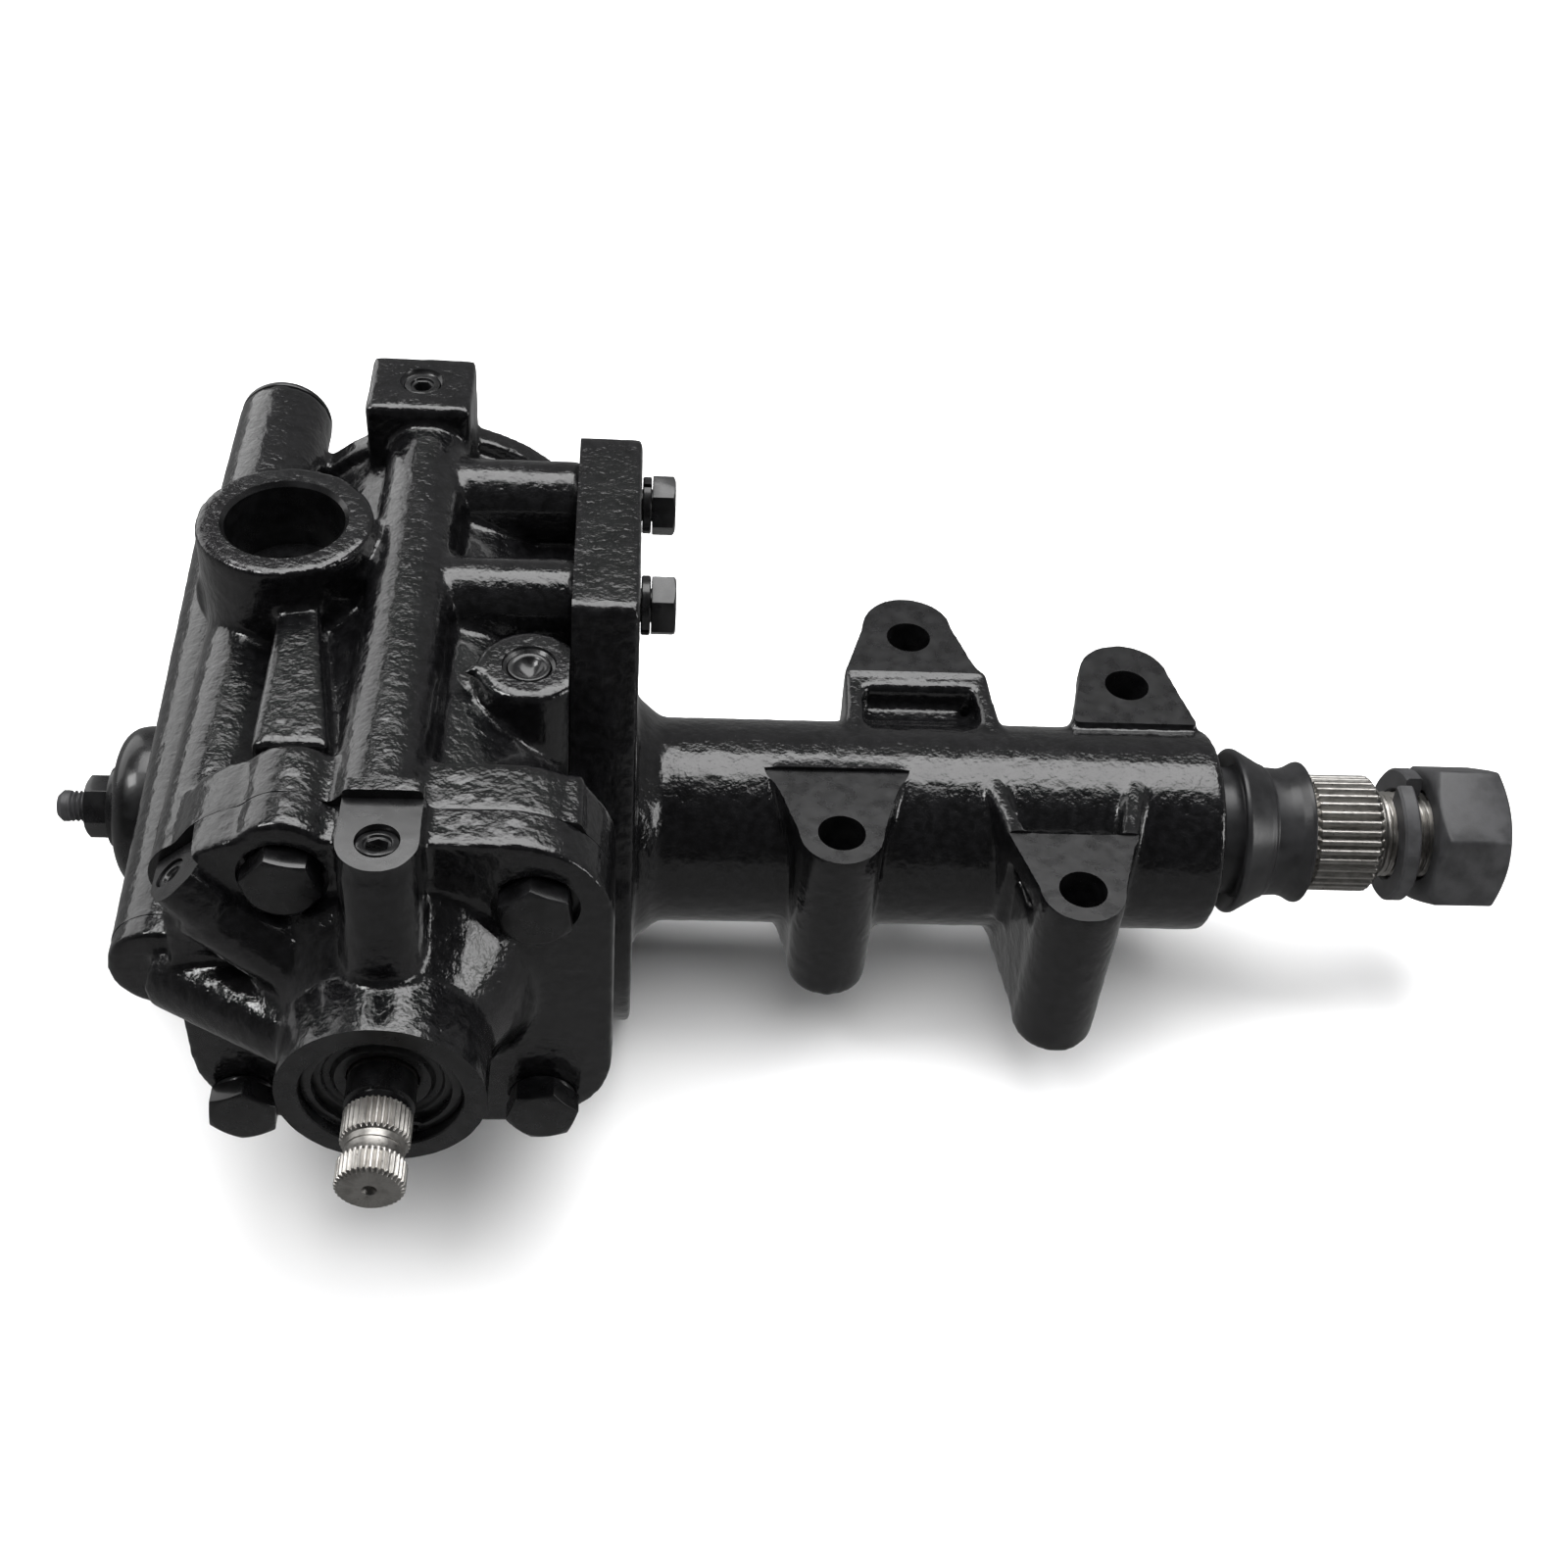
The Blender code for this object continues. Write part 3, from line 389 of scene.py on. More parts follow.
def machined(casting, cutters):
    """The casting with these shapes cut from it, whose faces take the machined slot."""
    for obj, slot in ((casting, CAST), *((cutter, MACHINED) for cutter in cutters)):
        obj.data.materials.clear()
        obj.data.materials.append(PAINTS["cast_paint"])
        obj.data.materials.append(PAINTS["smooth_paint"])
        obj.data.polygons.foreach_set("material_index", [slot] * len(obj.data.polygons))
    return combine(casting, cutters, "DIFFERENCE", "MANIFOLD")


# Gear housing

BOLT_PLACES = {  # valve housing bolts: (x, z, y of the head's face)
    1: (-25.3, 84.5, -112.0),
    2: (37.4, 75.0, -112.0),
    3: (-43.9, -5.0, -115.0),
    4: (38.4, -3.5, -115.0),
}
FLANGE_FRONT_Y = -107.0
SUNK_FACE_Y = FLANGE_FRONT_Y + 3  # seat of the two upper bolts
SIDE_BOLTS = {  # sector housing bolts: (y, z, side of the head, +1 right or -1 left)
    1: (46.9, 88.0, 1),
    2: (-0.9, 88.0, 1),
    3: (-49.0, -15.0, -1),
    4: (-24.0, -46.0, -1),
    5: (38.0, -37.0, 1),
}
EAR_RIGHT_X = 62.5
RIM_BOSS = (-40.0, 37.0)  # half-round boss on the rim of the sector flange
CHECK_BOSS = (32.5, -34.7)
CHECK_BOSS_Z = 94.0
RELIEF_VALVE = (-51.0, 80.0)  # (x, z) of the cylinder along the left edge
TOP_BLOCK = (-21.0, 10.5, 61.0, 90.0)  # x and y limits
TOP_BLOCK_Z = 110.0
TOP_PLUG = (-5.0, 76.5)
EAR_TOP_Z = 107.0
TAB_TOP = (0.0, -113.0, 104.5)
TAB_FOOT = (0.0, -122.0, 60.0)
SIDE_PLUG_TOP = (-54.0, -103.0, 81.0)
SIDE_PLUG_FOOT = (-24.0, -108.0, 46.0)
SIDE_PASSAGE_END = (-20.0, -112.0, 55.0)
SIDE_PAD = [(-16.0, -11.0), (-17.5, 5.8), (6.0, 12.0), (11.0, 5.0), (10.5, 0.5), (5.0, -5.0)][::-1]
SIDE_PAD_DEPTH = 12.0
# Countersunk bores as turned cutters: (height above the face, radius)
PORT_BORE = [(16.0, 0.0), (16.0, 22.0), (1.5, 19.2), (-1.4, 16.9), (-22.0, 16.9), (-22.0, 0.0)]
TOP_PLUG_BORE = [
    (12.0, 0.0), (12.0, 9.5), (1.5, 7.4), (-1.0, 6.2), (-1.4, 5.6), (-13.0, 5.6), (-13.0, 0.0),
]
CHECK_BORE = [
    (28.0, 0.0), (28.0, 9.5), (1.5, 8.2), (-0.8, 7.2), (-1.4, 6.2), (-8.0, 6.2), (-8.0, 0.0),
]
INPUT_BORE = [  # (y, radius)
    (-139.5, 0.0), (-139.5, 20.6), (-143.6, 20.6), (-144.6, 21.4), (-150.0, 23.0), (-150.0, 0.0),
]


def flange_outline():
    """The four-bolt flange round the worm axis, as (-x, z) points."""
    return rounded_box_outline(-57.5, 57.0, -16.0, 97.0, 27.0)


def bolt_holes(y0, y1, r=6.3):
    return [y_rod(y0, y1, r, x, z) for x, z, _ in BOLT_PLACES.values()]


def make_gear_housing():
    front = JOINT_Y
    adds = [
        y_rod(front - 3, REAR_Y - 1, 46.5, sides=FINE),
        y_rod(REAR_Y - 9, REAR_Y, 50.5, sides=FINE),
        plate(flange_outline(), 20.0, facing_y(front + 8.0)),
        x_rod(-52, JOINT_X - 1, 40, sides=FINE),
        x_rod(29, JOINT_X + 3, 58, sides=FINE),
        x_rod(-79, -40, 31, r_end=37, sides=FINE),
        box((-50, -36, BASE_Z), (JOINT_X + 3, 36, -20)),
        box((JOINT_X - 13, -27, 40), (JOINT_X + 3, 57, 79)),
        box((5, 5, 60), (JOINT_X, 42, 79)),
        rod((-61.5, front - 4, 41), (-68, 92, 41), 14.5),
        box((-66, -80, 28), (-35, 74, 52)),
        y_rod(front - 5, 20, 12.5, -50, 70),
        box((-60, -85, 45), (-38, 70, 70)),
        y_rod(5, 95.5, 14.5, *RELIEF_VALVE),
        z_rod(60, PORT_FACE_Z, 25, *PORT, sides=FINE),
        y_rod(front - 6, 60, 12.5, -2.5, 92),
        box((-14.5, front - 9, 70), (9.5, 60, 92)),
        box((TOP_BLOCK[0], TOP_BLOCK[2], 62), (TOP_BLOCK[1], TOP_BLOCK[3], TOP_BLOCK_Z)),
        x_rod(4, JOINT_X + 1, 12.4, 46.9, 88),
        x_rod(4, JOINT_X + 1, 12.6, -0.9, 88),
        z_rod(50, CHECK_BOSS_Z, 14.6, *CHECK_BOSS),
        rod((18.5, -36.5, 92.8), (14.6, -37.2, 92.8), 2.4, 1.0, sides=12),
        rod((45.5, -32.5, 92.8), (49.6, -31.6, 92.8), 2.4, 1.2, sides=12),
        plate([(-38, -68), (-17.5, -68), (-28, -4), (-38, -4)], 23.0, facing_z(81.5)),
        y_rod(front - 7, -76, 13.5, -25, 88.5),
        box((10, front - 8, 60), (49, -75.5, 93)),
        x_rod(36, JOINT_X + 3, 11, *RIM_BOSS),
    ]
    casting = skin(adds, *GEAR_SKIN)
    cuts = [
        box((-99, front - 30, -70), (99, front, 130)),
        y_rod(front - 35, 71.5, BORE_R, sides=FINE),
        y_rod(71, REAR_Y + 5, 42.3, sides=FINE),
        x_rod(-26, JOINT_X + 5, 30, sides=FINE),
        box((JOINT_X, -68, -70), (JOINT_X + 20, 67, 115)),
        x_rod(-84, -20, 20, sides=FINE),
        turned(PORT_BORE, "Z", FINE, (*PORT, PORT_FACE_Z)),
        z_rod(74, 90, 11.0, *PORT),
        y_rod(88, 120, 11.5, *RELIEF_VALVE),
        turned(TOP_PLUG_BORE, "Z", ROUND, (*TOP_PLUG, TOP_BLOCK_Z)),
        turned(CHECK_BORE, "Z", ROUND, (*CHECK_BOSS, CHECK_BOSS_Z)),
        *bolt_holes(front - 5, front + 18),
    ]
    for y, z, side in SIDE_BOLTS.values():
        cuts.append(x_rod(18 if side > 0 else 5, JOINT_X + 5, 5.3, y, z))
        if side < 0:
            cuts.append(x_rod(2, 26, 11, y, z))
    placed("gear_housing_look", machined(casting, cuts), [])


# Valve housing


def make_valve_housing():
    back = JOINT_Y - GAP
    over = back + 3.0
    pad_middle = along(SIDE_PLUG_TOP, SIDE_PLUG_FOOT, SIDE_PAD_DEPTH / 2 - 1.5)
    pad_place = facing_along(pad_middle, SIDE_PLUG_FOOT)
    trim_middle = along(SIDE_PLUG_TOP, SIDE_PLUG_FOOT, -6)
    trim_place = facing_along(trim_middle, SIDE_PLUG_FOOT)
    trim = [(x * 1.12, y * 1.12) for x, y in SIDE_PAD]
    adds = [
        plate(flange_outline(), over - FLANGE_FRONT_Y, facing_y((over + FLANGE_FRONT_Y) / 2)),
        y_rod(-146, -100, 26.7, sides=FINE),
        y_rod(-124, -104, 27.5, r_end=40, sides=FINE),
        rod((-61.5, -101.5, 41), (-61.5, over + 1, 41), 14.5),
        box((-62, -101.2, 27), (-40, over + 2, 55)),
        rod((-60, -100, 40), (-10, -131, 44), 10),
        rod(along(SIDE_PLUG_TOP, SIDE_PLUG_FOOT, 10), SIDE_PASSAGE_END, 10),
        plate(SIDE_PAD, SIDE_PAD_DEPTH + 3.0, pad_place),
        z_rod(70, TAB_TOP[2] + 3, 10.3, TAB_TOP[0], TAB_TOP[1]),
        rod(along(TAB_TOP, TAB_FOOT, 6), TAB_FOOT, 10.3),
        box((-10, TAB_TOP[1], 85), (10, over + 3, TAB_TOP[2] + 3)),
        y_rod(FLANGE_FRONT_Y + 0.4, over + 4, 13.5, -25, 88.5),
    ]
    casting = skin(adds, *VALVE_SKIN)
    cuts = [
        y_rod(-152, -144, 40, sides=FINE),
        turned(INPUT_BORE, "Y", FINE, (0.0, 0.0, WORM_Z)),
        y_rod(-141, -80, 20, sides=FINE),
        plate(trim, 12.0, trim_place),
        box((-20, -130, TAB_TOP[2]), (20, -98.5, 130)),
        rod(along(TAB_TOP, TAB_FOOT, -5), along(TAB_TOP, TAB_FOOT, 12), 5.6),
        rod(along(SIDE_PLUG_TOP, SIDE_PLUG_FOOT, -5), along(SIDE_PLUG_TOP, SIDE_PLUG_FOOT, 12), 4.6),
        *bolt_holes(-125, -80),
        *[y_rod(-125, SUNK_FACE_Y, 11.5, x, z) for x, z, _ in (BOLT_PLACES[1], BOLT_PLACES[2])],
        box((-120, back, -70), (120, back + 30, 160)),
    ]
    placed("valve_housing_look", machined(casting, cuts), [])


# Sector housing

LUG_TURN = -16.8  # degrees about Z
LUG_STEP = (73.1, 95.2)
LUG_FIRST = (124.2, -34.7)  # near left hole
LUG_FOOT_Z = -31.0
RIB_THICKNESS = 5.8
# For each lug: the y where its pad ends, the pad's half width there, the tip's radius, how far
# the tip stands beyond the hole's centre along y, and the top of the tie to the tube
LUG_SHAPES = (
    (-8.0, 21.0, 13.0, 0.0, 22.0),
    (-33.0, 20.0, 13.0, 0.0, 14.0),
    (38.0, 22.5, 15.0, 5.0, 22.0),
    (17.0, 20.5, 15.0, 5.0, 22.0),
)


def lug_places():
    """The four holes: near left, near right, far left, far right."""
    c, s = cos(radians(LUG_TURN)), sin(radians(LUG_TURN))
    places = []
    for row in (0, 1):
        for column in (0, 1):
            dx, dy = column * LUG_STEP[0], row * LUG_STEP[1]
            places.append((LUG_FIRST[0] + c * dx - s * dy, LUG_FIRST[1] + s * dx + c * dy))
    return places


def pad_outline(x, y, shape, margin=0.0):
    """A lug's flat pad as (x, y) points, this much larger all round its tip."""
    reach, half_width, tip_r, tip_out, _ = shape
    side = 1 if y < reach else -1
    tip = (x, y - side * tip_out)
    first = 180 if side > 0 else 0
    rounded = arc(tip, tip_r + margin, first, first + 180, 30)
    half_width += margin / 2
    return rounded + [(x + side * half_width, reach), (x - side * half_width, reach)]


def lug(x, y, shape):
    """One lug: a round pad on a column, and a tie that widens towards the tube."""
    pad = plate(pad_outline(x, y, shape), 10.5, facing_z(LUG_FACE_Z - 3.75))
    column = z_rod(LUG_FOOT_Z, LUG_FACE_Z - 1, 12.6, x, y, 13.2)
    web = [(x - 12.4, y), (x + 12.4, y), (x + 20, 0.0), (x - 20, 0.0)]
    foot = LUG_FOOT_Z + 2
    tie_top = shape[-1]
    tie = plate(web, tie_top - foot, facing_z((tie_top + foot) / 2))
    return [pad, column, tie]


def rib(start, end, foot_z):
    """An upright rib under a lug's face, between two (x, y) points."""
    a = Vector((*start, 0.0))
    b = Vector((*end, 0.0))
    across = (b - a).cross(Vector((0.0, 0.0, 1.0))).normalized() * RIB_THICKNESS / 2
    outline = [(p.x, p.y) for p in (a + across, b + across, b - across, a - across)]
    top = LUG_FACE_Z + 0.3
    return plate(outline, top - foot_z, facing_z((top + foot_z) / 2))


def ear_outline():
    """The flange as (y, z) points: a disc round the sector axis and a block above it."""
    disc = arc((0.0, 0.0), 64.0, 152, 385, 90)
    block = rounded_box_outline(-27.0, 57.0, 60.0, EAR_TOP_Z, 4.0, 5)
    return disc + [p for p in block if p[1] > 90]


def make_sector_housing():
    left = JOINT_X + GAP
    adds = [
        plate(ear_outline(), EAR_RIGHT_X - left + 3, facing_x((left + EAR_RIGHT_X) / 2 - 1.5)),
        x_rod(55, TUBE_END_X, TUBE_R, sides=FINE),
        x_rod(60, 71, 41, r_end=TUBE_R - 0.5, sides=FINE),
        x_rod(left - 3, EAR_RIGHT_X, 11, *RIM_BOSS),
    ]
    places = lug_places()
    for (x, y), shape in zip(places, LUG_SHAPES):
        adds += lug(x, y, shape)
    adds += [
        rib((178.5, -36.0), (171.5, -8.0), -8.0),
        rib((211.5, -36.0), (218.0, -8.0), -8.0),
        rib((132.5, 40.0), (131.0, 4.0), 5.0),
        rib((173.0, 40.0), (176.0, 4.0), 5.0),
        rib((132.0, 34.0), (174.0, 34.0), 2.0),
        box((133, 24, 5), (173, 28, 22)),
    ]
    casting = skin(adds, *SECTOR_SKIN)
    cuts = [
        box((left - 30, -90, -90), (left, 90, 130)),
        box((left - 5, -50, BASE_Z - 20), (EAR_RIGHT_X + 5, 50, BASE_Z)),
        x_rod(left - 20, 90, 23.2, sides=FINE),
        x_rod(80, TUBE_END_X + 5, 20.5, sides=FINE),
        x_rod(214, TUBE_END_X + 5, 23.2, sides=FINE),
    ]
    for (x, y), shape in zip(places, LUG_SHAPES):
        cuts.append(z_rod(LUG_FOOT_Z - 10, 60, LUG_HOLE_R, x, y))
        cuts.append(plate(pad_outline(x, y, shape, 3.0), 12.0, facing_z(LUG_FACE_Z + 6.0)))
    for y, z, side in SIDE_BOLTS.values():
        cuts.append(x_rod(left - 5, 70 if side > 0 else 57, 5.3, y, z))
    placed("sector_housing_look", machined(casting, cuts), [])


# Covers, plugs and fasteners


def make_covers():
    cover = [
        (-62.0, 19.6), (-79.3, 19.6), (-79.3, 25.5), (-88.0, 25.5), (-91.6, 24.8), (-94.2, 22.8),
        (-95.7, 20.0), (-96.0, 17.5), (-96.0, 13.2), (-99.3, 12.7), (-99.3, 5.3), (-81.0, 5.3),
        (-81.0, 14.6), (-62.0, 14.6),
    ]
    placed("side_cover_look", turned(cover, "X", ease=1.2), ["smooth_paint"])
    plug = [
        (78.2, 0.0), (78.2, 14.0), (75.5, 16.0), (75.5, 40.0), (74.6, 41.9), (71.8, 41.9), (71.8, 0.0),
    ]
    at = (0.0, 0.0, WORM_Z)
    placed("rear_plug_look", turned(plug, "Y", FINE, at, 0.8), ["smooth_paint"])
    held = ring(75.9, 77.9, 38.5, 42.0, ease=0.3)
    placed("rear_retaining_ring_look", held, ["black_oxide"])
    cap = [
        (98.5, 0.0), (98.5, 12.6), (97.0, 14.2), (95.3, 14.2), (95.3, 11.2), (89.0, 11.2), (89.0, 0.0),
    ]
    cap = turned(cap, "Y", FINE, (RELIEF_VALVE[0], 0.0, RELIEF_VALVE[1]), 0.5)
    placed("relief_valve_cap_look", cap, ["smooth_paint"])


def socket_plug(name, top, foot, r, socket):
    """A threaded plug with a hexagonal socket, flush with the face that it closes."""
    body = rod(along(top, foot, 0.6), along(top, foot, 10), r)
    dish = rod(along(top, foot, -2), along(top, foot, 1.4), r - 1.0, r - 1.9)
    hole = rod(along(top, foot, -2), along(top, foot, 6), socket / 2 / cos(pi / 6), sides=6)
    shape = softened_edges(solid([body], [dish, hole]), 0.25)
    placed(name + "_look", shape, ["smooth_paint"])


def make_plugs():
    socket_plug("top_block_plug", (*TOP_PLUG, TOP_BLOCK_Z - 0.6), (*TOP_PLUG, 60), 5.3, 5)
    socket_plug("front_tab_plug", TAB_TOP, TAB_FOOT, 5.3, 5)
    socket_plug("side_tab_plug", SIDE_PLUG_TOP, SIDE_PLUG_FOOT, 4.3, 4)
    dish = [(-5.5, 0.0), (-1.0, 4.4), (-0.8, 5.9), (-7.6, 5.9), (-7.6, 0.0)]
    dish = turned(dish, "Z", ROUND, (*CHECK_BOSS, CHECK_BOSS_Z), 0.5)
    placed("check_valve_plug_look", dish, ["smooth_paint"])
    seat = [(83.6, 10.6), (78.0, 10.6), (78.0, 4.0), (83.6, 5.5)]
    seat = turned(seat, "Z", ROUND, (*PORT, 0.0), 0.6)
    placed("port_seat_look", seat, ["smooth_paint"])


HEAD_FACE = 0.94  # the chamfer's circle on a hexagon's end, as a share of its flats
CORNER_ROOM = 0.3  # how far the chamfer's cone stands clear of the corners
CHAMFER_SLOPE = 0.5


def hexagon(axis, t0, t1, flats, at, turn):
    """A hexagonal prism along X or Y, for bolt heads and nuts."""
    corner_r = flats / 2 / cos(pi / 6)
    angles = [radians(turn) + i * pi / 3 for i in range(6)]
    outline = [(corner_r * cos(a), corner_r * sin(a)) for a in angles]
    facing = {"X": facing_x, "Y": facing_y}[axis]
    return plate(outline, t1 - t0, Matrix.Translation(Vector(at) * MM) @ facing((t0 + t1) / 2))


def hex_head(axis, t0, t1, flats, at, turn, low_chamfer, high_chamfer):
    """A hexagon whose corners are turned down to a chamfer at either end."""
    corner = flats / 2 / cos(pi / 6)
    face_r = flats / 2 * HEAD_FACE
    outer_r = corner + CORNER_ROOM
    drop_in = (corner - face_r) * CHAMFER_SLOPE
    profile = [(t0, 0.0)]
    profile += [(t0, face_r), (t0 + drop_in, outer_r)] if low_chamfer else [(t0, outer_r)]
    profile += [(t1 - drop_in, outer_r), (t1, face_r)] if high_chamfer else [(t1, outer_r)]
    profile.append((t1, 0.0))
    cone = turned(profile, axis, FINE, at)
    head = combine(hexagon(axis, t0 - 0.01, t1 + 0.01, flats, at, turn), [cone], "INTERSECT")
    return softened_edges(head, flats * 0.018, 2, 14)


def make_valve_housing_bolts():
    for number, (x, z, face) in BOLT_PLACES.items():
        seat = SUNK_FACE_Y if number < 3 else FLANGE_FRONT_Y
        head = hex_head("Y", face, seat - 1.3, 18.0, (x, 0, z), 12 * number, True, False)
        collar = [(seat - 1.5, 0.0), (seat - 1.5, 9.0), (seat - GAP, 9.3), (seat - GAP, 0.0)]
        collar = turned(collar, "Y", ROUND, (x, 0, z), 0.2)
        shank = y_rod(seat - 1, JOINT_Y + 14, 5.9, x, z)
        shape = solid([head, collar, shank])
        placed(f"valve_housing_bolt_{number}_look", shape, ["smooth_paint"])


def make_sector_housing_bolts():
    for number, (y, z, side) in SIDE_BOLTS.items():
        seat = EAR_RIGHT_X + GAP if side > 0 else 26 - GAP
        tip = 24 if side > 0 else 56
        at = (0.0, y, z)
        washer = split_washer(*sorted((seat, seat + side * 2.7)), 5.4, 8.6, at, 100 * number)
        under = seat + side * 3.0
        t0, t1 = sorted((under, under + side * 7.0))
        head = hex_head("X", t0, t1, 16.0, at, 8 * number, side < 0, side > 0)
        shank = x_rod(*sorted((under + side, tip)), 4.9, y, z)
        shape = solid([head, shank])
        placed(f"sector_housing_bolt_{number}_look", shape, ["smooth_paint"])
        placed(f"spring_washer_{number}_look", washer, ["smooth_paint"])


def split_washer(t0, t1, r_in, r_out, at, turn, spread=0.0):
    """A spring washer: one turn of a square bar along X, whose ends stand apart by spread."""
    steps = 72
    open_angle = radians(10)
    work = bmesh.new()
    rings = []
    width, height = (r_out - r_in) / 2, (t1 - t0) / 2
    ease = min(width, height) * 0.28
    section = [
        (width - ease, height), (width, height - ease), (width, ease - height), (width - ease, -height),
    ]
    section += [(-r, -t) for r, t in section]
    for i in range(steps + 1):
        share = i / steps
        angle = radians(turn) + open_angle / 2 + (2 * pi - open_angle) * share
        middle = (t0 + t1) / 2 + (share - 0.5) * spread
        points = []
        for dr, dt in section:
            r = (r_in + r_out) / 2 + dr
            place = (r * cos(angle) * MM, r * sin(angle) * MM, (middle + dt) * MM)
            points.append(work.verts.new(place))
        rings.append(points)
    for first, second in zip(rings, rings[1:]):
        for k in range(len(section)):
            n = (k + 1) % len(section)
            work.faces.new((first[k], first[n], second[n], second[k]))
    work.faces.new(rings[0])
    work.faces.new(rings[-1][::-1])
    bmesh.ops.recalc_face_normals(work, faces=work.faces)
    work.transform(Matrix.Translation(Vector(at) * MM) @ facing_x(0.0))
    return from_bmesh(work)


# Shafts


PIN_Y = -116.0  # cross pin between the input shaft and the torsion bar


def grown(radius, stations, columns, axis, at=(0.0, 0.0, 0.0)):
    """A closed shaft whose radius at each place and each angle comes from radius(t, angles)."""
    angles = np.linspace(0, 2 * pi, columns, endpoint=False)
    work = bmesh.new()
    rows = []
    for t in stations:
        places = [(r * cos(a) * MM, r * sin(a) * MM, t * MM) for r, a in zip(radius(t, angles), angles)]
        rows.append([work.verts.new(place) for place in places])
    for low, high in zip(rows, rows[1:]):
        for k in range(columns):
            n = (k + 1) % columns
            work.faces.new((low[k], low[n], high[n], high[k]))
    for row, t in ((rows[0], stations[0]), (rows[-1], stations[-1])):
        middle = work.verts.new((0.0, 0.0, t * MM))
        for k in range(columns):
            work.faces.new((row[k], row[(k + 1) % columns], middle))
    bmesh.ops.recalc_face_normals(work, faces=work.faces)
    turns = {"X": facing_x(0.0), "Y": Matrix(((0, 1, 0), (0, 0, 1), (1, 0, 0))).to_4x4()}
    work.transform(Matrix.Translation(Vector(at) * MM) @ turns[axis])
    return from_bmesh(work)


def splines(t, angles, t0, t1, depth, count, fade=0.8):
    """How far the spline's grooves go in: flat tops, sloping flanks and narrow roots."""
    top, flank = 0.42, 0.38  # shares of half a tooth
    end_depth = 0.35  # share of the full depth where the teeth begin
    share = (angles * count / (2 * pi)) % 1.0
    wave = np.abs(share - 0.5) * 2
    groove = np.clip((wave - top) / flank, 0, 1)
    run = np.clip(min(t - t0, t1 - t) / fade + end_depth, 0, 1)
    return depth * groove * run


def thread(t, angles, t0, t1, depth, pitch):
    """How far a thread's groove goes in, running out over one pitch at either end."""
    share = (t / pitch - angles / (2 * pi)) % 1.0
    groove = 1 - np.abs(share - 0.5) * 2
    run = np.clip(min(t - t0, t1 - t) / pitch, 0, 1)
    return depth * np.clip(groove * 1.25, 0, 1) * run


def stations_for(profile, fine, step):
    """Places along a shaft: each corner of its profile, and close rows where the detail is."""
    found = {round(t, 3) for t, _ in profile}
    for t0, t1, every in [*fine, (profile[0][0], profile[-1][0], step)]:
        count = round((t1 - t0) / every)
        found |= {round(t0 + (t1 - t0) * k / count, 3) for k in range(count + 1)}
    return sorted(found)


def stepped(profile):
    """Interpolates a profile of (t, r), nudging steps apart so that each has its own place."""
    ts, rs = [], []
    for t, r in profile:
        ts.append(t if not ts or t > ts[-1] else ts[-1] + 0.05)
        rs.append(r)
    return list(zip(ts, rs))


PAINTED_FROM_Y, PAINTED_TO_Y = -150.1, -138.0  # the input shaft's black stretch
SPLINE_TEETH = 36
INPUT_LANDS = ((SHAFT_END_Y + 0.3, SHAFT_END_Y + 7.0), (SHAFT_END_Y + 13.5, -149.6))
INPUT_SPLINE_DEPTH = 0.75
PITMAN_SPLINE = (278.0, 303.0)  # its teeth run out past the land on both sides
PITMAN_SPLINE_DEPTH = 1.5
PITMAN_THREAD = (303.0, 342.6, 1.05, 2.0)  # from, to, depth and pitch
ADJUSTER_THREAD = (-112.8, -80.0, 0.75, 1.5)


def make_input_shaft():
    at = (0.0, 0.0, WORM_Z)
    e = SHAFT_END_Y
    profile = stepped([
        (e, 7.4), (e + 0.9, 8.7), (e + 7.0, 8.75), (e + 7.5, 7.7), (e + 9.5, 7.3), (e + 11.0, 7.3),
        (e + 11.1, 7.6), (e + 13.0, 7.6), (e + 13.9, 8.75), (-150.0, 8.75), (-149.2, 8.0), (-147.6, 8.0),
        (-147.2, 8.9), (-123.0, 8.9), (-122.0, 11.4), (-103.4, 11.4), (-103.0, 11.0),
    ])
    ts, rs = zip(*profile)

    def radius(t, angles):
        r = np.interp(t, ts, rs) + np.zeros_like(angles)
        for t0, t1 in INPUT_LANDS:
            if t0 <= t <= t1:
                r = r - splines(t, angles, t0, t1, INPUT_SPLINE_DEPTH, SPLINE_TEETH)
        return r

    fine = [(e, e + 7.5, 0.3), (e + 13.0, -149.0, 0.3)]
    shaft = grown(radius, stations_for(profile, fine, 4.0), 288, "Y", at)
    centre_drill = [(e + 3.4, 0.0), (e + 1.6, 0.7), (e - 0.2, 2.1), (e - 1.0, 2.6), (e - 1.0, 0.0)]
    cuts = [
        y_rod(-158, -95, 4.9),
        rod((-20, PIN_Y, WORM_Z), (20, PIN_Y, WORM_Z), 2.3, sides=24),
        turned(centre_drill, "Y", ROUND, at),
    ]
    materials = ["bright_steel", "smooth_paint"]
    shaft = placed("input_shaft_look", solid([shaft], cuts), materials, sharp=40)
    for face in shaft.data.polygons:
        if PAINTED_FROM_Y < (face.center.y - ORIGIN.y) / MM < PAINTED_TO_Y:
            face.material_index = 1


